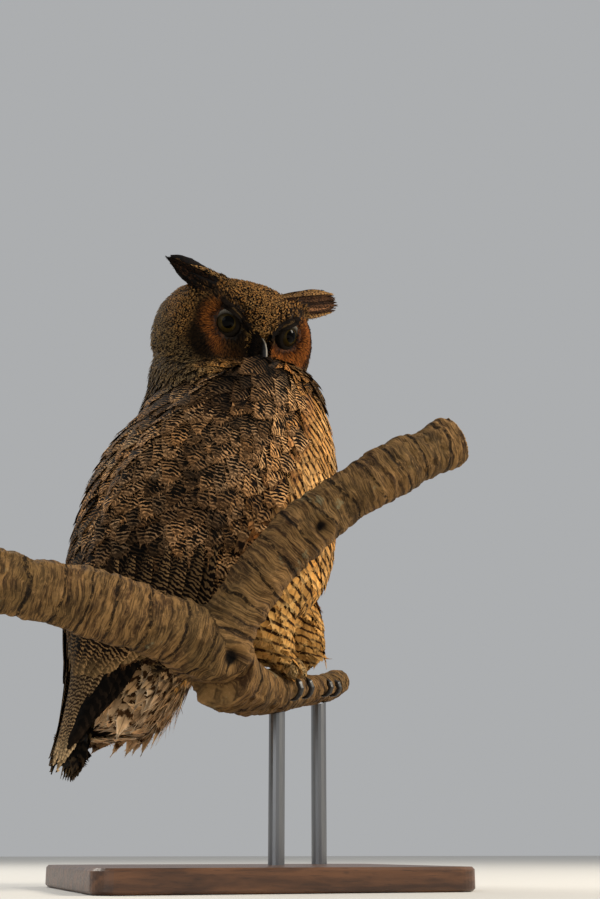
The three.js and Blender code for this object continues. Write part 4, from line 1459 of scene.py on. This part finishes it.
def make_lids(side, name):
    """A soft-edged ring of skin round the eye, lower over the top of the iris than below."""
    axes, centre = eye_axes(side), eye_centre(side)
    sides, rows = 72, 12
    around = np.linspace(0, 2 * math.pi, sides, endpoint=False)
    is_top = np.cos(around - side * LID_TURN) * 0.5 + 0.5
    opening = np.radians(LID_OPENING - LID_DROOP * is_top**1.5)
    away = np.linspace(0, 1, rows + 1)[:, None]
    theta = opening + away * (LID_EDGE - opening)
    lift = (1.5 - 1.4 * np.exp(-away * 9) + 1.2 * bell(away - 0.22, 0.12)) * MM
    radius = EYE_RADIUS + CORNEA_RISE * bell(theta, CORNEA_BREADTH) + lift
    flat = np.sin(theta)
    ring = [flat * np.sin(around) * radius, np.cos(theta) * radius, flat * np.cos(around) * radius]
    points = np.stack(ring, axis=-1).reshape(-1, 3)
    grid = np.arange((rows + 1) * sides).reshape(rows + 1, sides)
    after = np.roll(grid, -1, axis=1)
    quads = np.stack([grid[:-1], grid[1:], after[1:], after[:-1]], axis=-1).reshape(-1, 4)
    mesh = new_mesh(f"lid_{name}", points @ axes.T + centre, quads)
    outer_top = np.cos(around + side * math.radians(30)) * 0.5 + 0.5
    upper = smoothstep(np.broadcast_to(outer_top, theta.shape), 0.72, 0.95)
    add_values(mesh, upper=(upper * bell(away - 0.2, 0.12)).ravel())
    finished(new_object(mesh), lid_material())


RING_FEATHERS = 64
RING_GRID = dict(rows=4, columns=2, taper=0.8, ragged=0.03)
RING_LOOKS = dict(ground="#1d140a", marking="#0a0704", tip="#251a0e")


def make_eye_rings(skin, material):
    """Short dark feathers round the lids, so that each eye lies deep in the plumage."""
    for number, (name, side) in enumerate(SIDES.items()):
        rng = np.random.default_rng(60 + number)
        axes, centre = eye_axes(side), eye_centre(side)
        count = 3 * RING_FEATHERS
        turn = np.linspace(0, 6 * math.pi, count, endpoint=False) + rng.normal(0, 0.05, count)
        row = np.repeat([0, 1, 2], RING_FEATHERS)
        first = 43 + 10.0 * row + rng.uniform(-2, 2, count)
        line, normals = [], []
        for degrees, lift in ((0, 1.9 - 0.1 * row), (14, 3.0 - 0.2 * row), (30, 3.4)):
            a = np.radians(first + degrees)
            ahead = [np.sin(a) * np.sin(turn), np.cos(a), np.sin(a) * np.cos(turn)]
            ahead = np.stack(ahead, axis=1) @ axes.T
            line.append(centre + ahead * np.reshape(EYE_RADIUS + lift * MM, (-1, 1)))
            normals.append(ahead)
        widths = rng.uniform(2.0, 3.0, count) * MM
        short_piece(
            f"eye_ring_{name}", "orbit", line, normals, widths, rng,
            RING_GRID, RING_LOOKS, skin, material,
        )


# Rows of feathers along each brow: how far above its line they start and end, in mm, where
# along it they lie, their length, width and height off the eye, and their colours.
BrowRow = namedtuple("BrowRow", "name count start end span length width lift ground tip")
BROW_ROWS = [
    # The first two rows are coloured near black, as painted shade under the brow.
    BrowRow("shaded_hood", 64, 3.0, -3.0, (7, 34), 10, 3.6, 1.2, "#120c07", "#1a120b"),
    BrowRow("shade", 44, 4.5, 1.0, (4, 36), 9, 3.4, 2.0, "#1a110a", "#22160c"),
    BrowRow("line", 60, 1.0, 2.2, (8, 30), 9, 0.7, 2.0, "#5a4426", "#6b522d"),
]
BROW_CLEARANCE = 1.0 * MM
BROW_GRID = dict(rows=5, columns=2, taper=0.8, ragged=0.03)


def make_brows(skin, material):
    """Dark feathers over the upper inner part of each eye, coloured as painted shade under the
    brow, and a thin pale line along it.
    """

    def place_at(side, across, rise, lift):
        x, z = side * across * MM, (brow_height(across) + rise) * MM
        back = Vector(HEAD_AXES @ np.array([0, 1.0, 0]))
        depths = []
        for a, c in zip(x.tolist(), z.tolist()):
            hit = skin.tree.ray_cast(Vector(from_head([a, -0.1, c])), back)
            depths.append(in_head(hit[0])[1] if hit[0] is not None else 0.0)
        away = np.hypot(np.abs(x) - EYE_SPACING, z - EYE_HEIGHT)
        reach = EYE_RADIUS + CORNEA_RISE + BROW_CLEARANCE
        ball = -EYE_DEPTH - np.sqrt(np.maximum(reach**2 - away**2, 0))
        y = np.minimum(np.array(depths), np.where(away < reach, ball, 0)) - lift * MM
        return from_head(np.stack([x, y, z], axis=1))

    facing = unit(0.3 * HEAD_AXES[:, 2] - HEAD_AXES[:, 1])
    for number, (name, side) in enumerate(SIDES.items()):
        rng = np.random.default_rng(50 + number)
        for row in BROW_ROWS:
            count = row.count
            across = np.linspace(*row.span, count) + rng.uniform(-0.6, 0.6, count)
            jitter = rng.uniform(-1.0, 1.0, count)
            middle = (row.start + row.end) / 2
            line = (
                place_at(side, across, row.start + jitter, row.lift - 0.9),
                place_at(side, across + row.length * 0.42, middle + jitter, row.lift + 0.6),
                place_at(side, across + row.length * 0.85, row.end + jitter, row.lift),
            )
            normals = [np.tile(facing, (count, 1))] * 3
            widths = row.width * rng.uniform(0.85, 1.15, count) * MM
            changes = dict(ground=row.ground, marking="#0d0805", tip=row.tip, duty=0.1)
            short_piece(
                f"brow_{row.name}_{name}", "brow", line, normals, widths, rng,
                BROW_GRID, changes, skin, material,
            )


def make_eyes():
    """Each eye is a ball with the cornea's bulge in front."""
    material = iris_material()
    for name, side in SIDES.items():
        axes, centre = eye_axes(side), eye_centre(side)
        angles = np.radians(np.linspace(0, 180, 72))
        reach = EYE_RADIUS + CORNEA_RISE * bell(angles, CORNEA_BREADTH)
        profile = [(r * math.sin(a), r * math.cos(a)) for a, r in zip(angles, reach)]
        mesh = revolved(f"eye_ball_{name}", profile, axes, centre)
        add_values(mesh, eye_place=(points_of(mesh) - centre) @ axes)
        finished(new_object(mesh), material, [f"eye_{name}"])
        make_lids(side, name)


# ---------------------------------------------------------------- bill and claws


def horn_material():
    """Black horn with fine growth lines, and a painted highlight along the ridge."""
    s = Shader("horn", Specular_IOR_Level=0.5)
    fine = s.noise(s.position(), 300.0, 4.0)
    # pale: a painted highlight along the bill's ridge.
    pale = s.times(s.attribute("ridge"), s.ramp(fine, 0.2, 0.8, 0.7, 1.0))
    dark = s.mix(fine, "#0a0807", "#1b1814")
    base = s.mix(pale, dark, "#8d8371")
    return s.paint(base, s.ramp(fine, 0.3, 0.7, 0.32, 0.48), s.bump(fine, 0.3, 0.15 * MM))


def make_bill(material):
    """The hooked bill, its ridge painted paler than its sides as a highlight."""
    points, triangles = remeshed(["bill"], 0.8 * MM, swell=0.0)
    local = in_head(points)
    sideways = np.abs(local[:, 0]) / MM
    # A narrow painted highlight down the ridge towards the bill's tip.
    ridge = bell(sideways, 1.2) * smoothstep(-local[:, 1] / MM, 52, 58)
    local[:, 0] *= 1 - 0.55 * smoothstep(-local[:, 1] / MM, 46, 58)
    points = from_head(local)
    mesh = new_mesh("bill_horn", points, triangles)
    add_values(mesh, ridge=ridge)
    finished(new_object(mesh), material, ["bill"])


BRISTLES = 110
BRISTLE_GRID = dict(rows=5, columns=1, taper=0.85, ragged=0.0, gutter=0)
BRISTLE_LOOKS = dict(ground="#2a2017", marking="#0d0906", tip="#4a3b29")
# The bill's ridge: how far forward it lies, in mm, at heights in the head's frame.
RIDGE_HEIGHTS = [-40, -34, -28, -22, -16, -10, -4, 4]
RIDGE_REACH = [64, 67, 69, 68.5, 68, 66, 55, 50]


def make_bristles(skin, material):
    """Stiff dark bristles that grow beside the bill and lie over its sides."""
    for number, (name, side) in enumerate(SIDES.items()):
        rng = np.random.default_rng(40 + number)
        count = BRISTLES
        z = rng.uniform(-24, 6, count)
        fall = rng.uniform(6, 11, count)
        spread = rng.uniform(1.8, 6.5, count)
        ridge = np.interp(z - fall, RIDGE_HEIGHTS, RIDGE_REACH)
        line = (
            (rng.uniform(5, 13, count), np.full(count, 46.0), z),
            (spread + 3.2, ridge * 0.4 + 31, z - fall * 0.35),
            (spread, ridge - 1.0 - 0.5 * spread, z - fall),
        )
        line = [from_head(np.stack([side * x, -y, height], axis=1) * MM) for x, y, height in line]
        outward = HEAD_AXES @ np.array([side * 0.8, -0.6, 0])
        widths = rng.uniform(0.9, 1.5, count) * MM
        normals = [np.tile(outward, (count, 1))] * 3
        short_piece(
            f"bristles_{name}", "lore", line, normals, widths, rng,
            BRISTLE_GRID, BRISTLE_LOOKS, skin, material,
        )


def make_claws(material):
    for name in SIDES:
        for number in range(1, 5):
            node = f"claw_{name}_{number}"
            points, triangles = remeshed([node], 0.5 * MM, swell=0.0)
            mesh = new_mesh(f"talon_{name}_{number}", points, triangles)
            add_values(mesh, ridge=np.zeros(len(points)))
            finished(new_object(mesh), material, [node])


# ---------------------------------------------------------------- perch


def smooth_line(points, steps=24):
    """A smooth curve through points, sampled evenly between each two."""
    given = [np.array(p, float) for p in points]
    padded = [2 * given[0] - given[1], *given, 2 * given[-1] - given[-2]]
    line = []
    for p0, p1, p2, p3 in zip(padded, padded[1:], padded[2:], padded[3:]):
        for t in np.arange(steps) / steps:
            bend = 2 * p1 + (p2 - p0) * t + (2 * p0 - 5 * p1 + 4 * p2 - p3) * t**2
            line.append((bend + (3 * p1 - p0 - 3 * p2 + p3) * t**3) / 2)
    return np.array([*line, given[-1]])


FORK = [-112, 100, 0]
# The stem, its upper limb and its lower limb, in mm from the feet.
LIMBS = [
    [FORK, [-122, 150, 16], [-124, 215, 32], [-130, 285, 42]],
    [FORK, [-126, 72, 52], [-144, 26, 106], [-156, -38, 150], [-160, -94, 180]],
    [[-100, 92, -16], [-54, 50, -25], [0, 0, -16], [54, -44, -8], [100, -80, 6]],
]
# Where branches once grew: (x, y, z) in mm, and how far each knot reaches.
KNOTS = [(-103, 44, 173, 17), (-130, -21, 277, 12), (-116, 70, 190, 9), (-60, 78, 158, 14)]


def bark_material():
    """Brown bark in cross ridges, with black cracks and knots and pale worn crests."""
    s = Shader("bark", Specular_IOR_Level=0.15)
    place = s.position()
    length, turn, cut = s.split(s.attribute("limb", "Vector"))
    knot = s.attribute("knot")
    low = s.noise(place, 22.0, 3.0)
    warped = s.times_plus(low, 0.02, length)
    rings = s.noise(s.combine(s.times(warped, 210.0), turn, 0.0), 1.0, 5.0, 0.62)
    grain = s.noise(place, 240.0, 6.0, 0.7)
    base = s.mix(s.ramp(rings, 0.36, 0.60), "#432e1b", "#936f43")
    base = s.mix(s.ramp(low, 0.4, 0.7, 0.0, 0.5), base, "#5a492b")
    base = s.mix(s.ramp(grain, 0.5, 0.7, 0.0, 0.55), base, "#a47e51")
    crack = s.ramp(rings, 0.36, 0.31, 0.0, 0.8)
    base = s.mix(crack, base, "#120c07")
    hollow = s.ramp(s.noise(place, 50.0, 5.0, 0.6), 0.60, 0.72, 0.0, 0.6)
    base = s.mix(hollow, base, "#1a120a")
    lichen = s.times(s.ramp(s.noise(place, 34.0, 5.0, 0.6), 0.62, 0.67), 0.45)
    base = s.mix(lichen, base, "#858264")
    base = s.mix(s.ramp(s.times_plus(grain, 0.4, knot), 0.6, 1.05), base, "#0d0805")
    radius = s.attribute("radius")
    years = s.times(s.times_plus(low, 0.004, radius), 3400.0)
    wood = s.mix(s.ramp(s.math("SINE", years), -1.0, 1.0), "#b08d5e", "#c9a877")
    base = s.mix(cut, base, wood)
    fine = s.combine(s.times(warped, 760.0), s.times(turn, 1.6), 0.0)
    fine = s.noise(fine, 1.0, 3.0, 0.6)
    base = s.mix(s.ramp(fine, 0.38, 0.55, 0.65, 0.0), base, "#1c130b")
    # Wandering seams run round the limb, each with a raised lip.
    wander = s.times(s.noise(place, 16.0, 3.0, 0.5), 7.0)
    seam = s.math("SINE", s.times_plus(length, 260.0, wander))
    gap = s.times(s.ramp(seam, 0.93, 0.99), s.ramp(grain, 0.42, 0.56))
    base = s.mix(s.times(gap, 0.85), base, "#0f0905")
    height = s.times_plus(fine, 0.6, s.times_plus(grain, 0.5, rings))
    height = s.times_plus(gap, -0.9, s.times_plus(seam, 0.25, height))
    height = s.times(height, s.ramp(cut, 0.0, 1.0, 1.0, 0.08))
    return s.paint(base, 0.85, s.bump(height, 1.0, 2.6 * MM))


def make_perch():
    points, triangles = remeshed(["perch"], 1.7 * MM, swell=0.0, smoothing=3)
    normals = point_normals(points, triangles)
    best = np.full(len(points), np.inf)
    limb = np.zeros((len(points), 3))
    radius = np.zeros(len(points))
    for number, line in enumerate(LIMBS):
        curve = smooth_line(np.array(line) * MM) + FEET_CENTRE
        steps = np.linalg.norm(np.diff(curve, axis=0), axis=1)
        passed = np.concatenate([[0], np.cumsum(steps)])
        gaps = np.linalg.norm(points[:, None] - curve[None], axis=2)
        place = np.argmin(gaps, axis=1)
        gap = gaps[np.arange(len(points)), place]
        ahead = unit(np.gradient(curve, axis=0))[place]
        offset = points - curve[place]
        span = passed[place] + dot(offset, ahead)[:, 0]
        flat = offset - dot(offset, ahead) * ahead
        turn = np.arctan2(flat[:, 2], np.linalg.norm(flat[:, :2], axis=1))
        is_end = smoothstep(np.abs(dot(normals, ahead)[:, 0]), 0.6, 0.85)
        is_end = is_end * (passed[-1] - span < 4 * MM)
        closer = gap < best
        best = np.where(closer, gap, best)
        found = np.stack([span + number * 0.7, turn, is_end], axis=1)
        limb = np.where(closer[:, None], found, limb)
        radius = np.where(closer, np.linalg.norm(flat, axis=1), radius)
    edges = edges_of(triangles)
    is_bark = 1 - limb[:, 2]
    lumps = noise(points, 18 * MM, 1) - 0.5
    banded = np.stack([limb[:, 0] / 5, points[:, 2] / 20, points[:, 1] / 20], axis=1)
    rings = noise(banded, 1 * MM, 2) - 0.5 + 0.5 * (noise(banded, 0.5 * MM, 6) - 0.5)
    cracks = -smoothstep(noise(points, 6 * MM, 4), 0.66, 0.85)
    height = is_bark * (2.6 * MM * lumps + 3.2 * MM * rings + 1.6 * MM * cracks)
    knot = np.zeros(len(points))
    for *middle, reach in KNOTS:
        away = np.linalg.norm(points - np.array(middle) * MM, axis=1) / (reach * MM)
        knot = np.maximum(knot, bell(away, 0.55))
        height += MM * (3.5 * bell(away - 0.8, 0.3) - 4.0 * bell(away, 0.4))
    points = points + normals * relaxed(height[:, None], edges, 1, 0.3)
    mesh = new_mesh("limb", points, triangles)
    add_values(mesh, limb=limb, radius=radius, knot=knot)
    finished(new_object(mesh), bark_material(), ["perch"])


# ---------------------------------------------------------------- stand, floor and light


def wood_material():
    s = Shader("stand_wood", Specular_IOR_Level=0.4, Coat_Weight=0.25, Coat_Roughness=0.2)
    x, y, z = s.split(s.position())
    stretched = s.combine(s.times(x, 9.0), y, s.times(z, 9.0))
    grain = s.noise(stretched, 14.0, 5.0, 0.55, 0.4)
    pores = s.noise(stretched, 90.0, 2.0)
    base = s.mix(s.ramp(grain, 0.3, 0.7), "#3b2415", "#6a452a")
    base = s.mix(s.ramp(pores, 0.55, 0.75, 0.0, 0.5), base, "#24150c")
    return s.paint(base, s.ramp(pores, 0.3, 0.7, 0.38, 0.52), s.bump(pores, 0.15, 0.3 * MM))


def steel_material():
    s = Shader("stand_steel", Metallic=1.0)
    x, y, z = s.split(s.position())
    x, y = (s.times(value, 1600.0) for value in (x, y))
    brushed = s.noise(s.combine(x, y, s.times(z, 60.0)), 1.0, 3.0)
    base = s.mix(brushed, "#7c7d7f", "#868789")
    return s.paint(base, s.ramp(brushed, 0.2, 0.8, 0.34, 0.40), s.bump(brushed, 0.04, 0.05 * MM))


def paint_stand():
    finishes = {"stand_base": wood_material(), "stand_rod_1": steel_material()}
    finishes["stand_rod_2"] = finishes["stand_rod_1"]
    for name, material in finishes.items():
        mesh = NODES[name].data
        mesh.materials.clear()
        mesh.materials.append(material)


FLOOR_REACH = 6.0  # metres from the middle to each edge
FLOOR_DROP = 0.5 * MM  # below the stand


def make_floor():
    s = Shader("floor", Specular_IOR_Level=0.2)
    speck = s.noise(s.position(), 40.0, 3.0)
    material = s.paint(s.mix(speck, "#d9d7d2", "#dedcd8"), 0.85)
    corners = [(-1, -1), (1, -1), (1, 1), (-1, 1)]
    points = np.array([(x * FLOOR_REACH, y * FLOOR_REACH, -FLOOR_DROP) for x, y in corners])
    floor = new_object(new_mesh("floor", points, np.array([[0, 1, 2, 3]])))
    floor.data.materials.append(material)


def add_light(name, place, target, size, power, tint):
    light = bpy.data.lights.new(name, "AREA")
    light.shape = "DISK"
    light.size = size
    light.energy = power
    light.color = tint
    holder = new_object(light)
    holder.location = place
    holder.rotation_euler = (Vector(target) - Vector(place)).to_track_quat("-Z", "Y").to_euler()


def light_scene():
    middle = (0.0, 0.0, 0.33)
    add_light("key", (-0.9, -1.8, 1.5), middle, 0.8, 56, (1.0, 0.90, 0.75))
    add_light("fill", (-1.8, 1.4, 0.9), middle, 1.6, 12, (0.96, 0.98, 1.0))
    add_light("back", (1.2, 0.9, 1.6), middle, 1.2, 22, (1.0, 0.96, 0.88))
    world = bpy.data.worlds.new("studio")
    world.use_nodes = True
    background = world.node_tree.nodes["Background"]
    background.inputs["Color"].default_value = (0.86, 0.88, 0.9, 1)
    background.inputs["Strength"].default_value = 0.48
    bpy.context.scene.world = world


CAMERA_PLACE = (-1.0768, 0.31164, 0.030)
CAMERA_BEARING = 108.33  # degrees from +Y towards +X
CAMERA_PITCH = 17.25
CAMERA_LENS = 77.46  # for a sensor 36 mm across


def place_camera():
    camera = bpy.data.cameras.new("camera")
    camera.sensor_fit = "HORIZONTAL"
    camera.sensor_width = 36
    camera.lens = CAMERA_LENS
    camera.clip_start = 0.01
    holder = new_object(camera)
    holder.location = CAMERA_PLACE
    bearing, pitch = math.radians(CAMERA_BEARING), math.radians(CAMERA_PITCH)
    level = math.cos(pitch)
    ahead = Vector((math.sin(bearing) * level, math.cos(bearing) * level, math.sin(pitch)))
    holder.rotation_euler = ahead.to_track_quat("-Z", "Y").to_euler()
    bpy.context.scene.camera = holder


# ---------------------------------------------------------------- the whole model

skin = Skin()
make_skin_piece(skin)
plumage = feather_material()
make_coat(skin, plumage)
make_tufts(skin, plumage)
make_wings(plumage)
make_tail(plumage)
make_eye_rings(skin, plumage)
make_brows(skin, plumage)
make_bristles(skin, plumage)
make_eyes()
horn = horn_material()
make_bill(horn)
make_claws(horn)
make_perch()
paint_stand()
make_floor()
light_scene()
place_camera()
bpy.context.scene.view_settings.view_transform = "Standard"
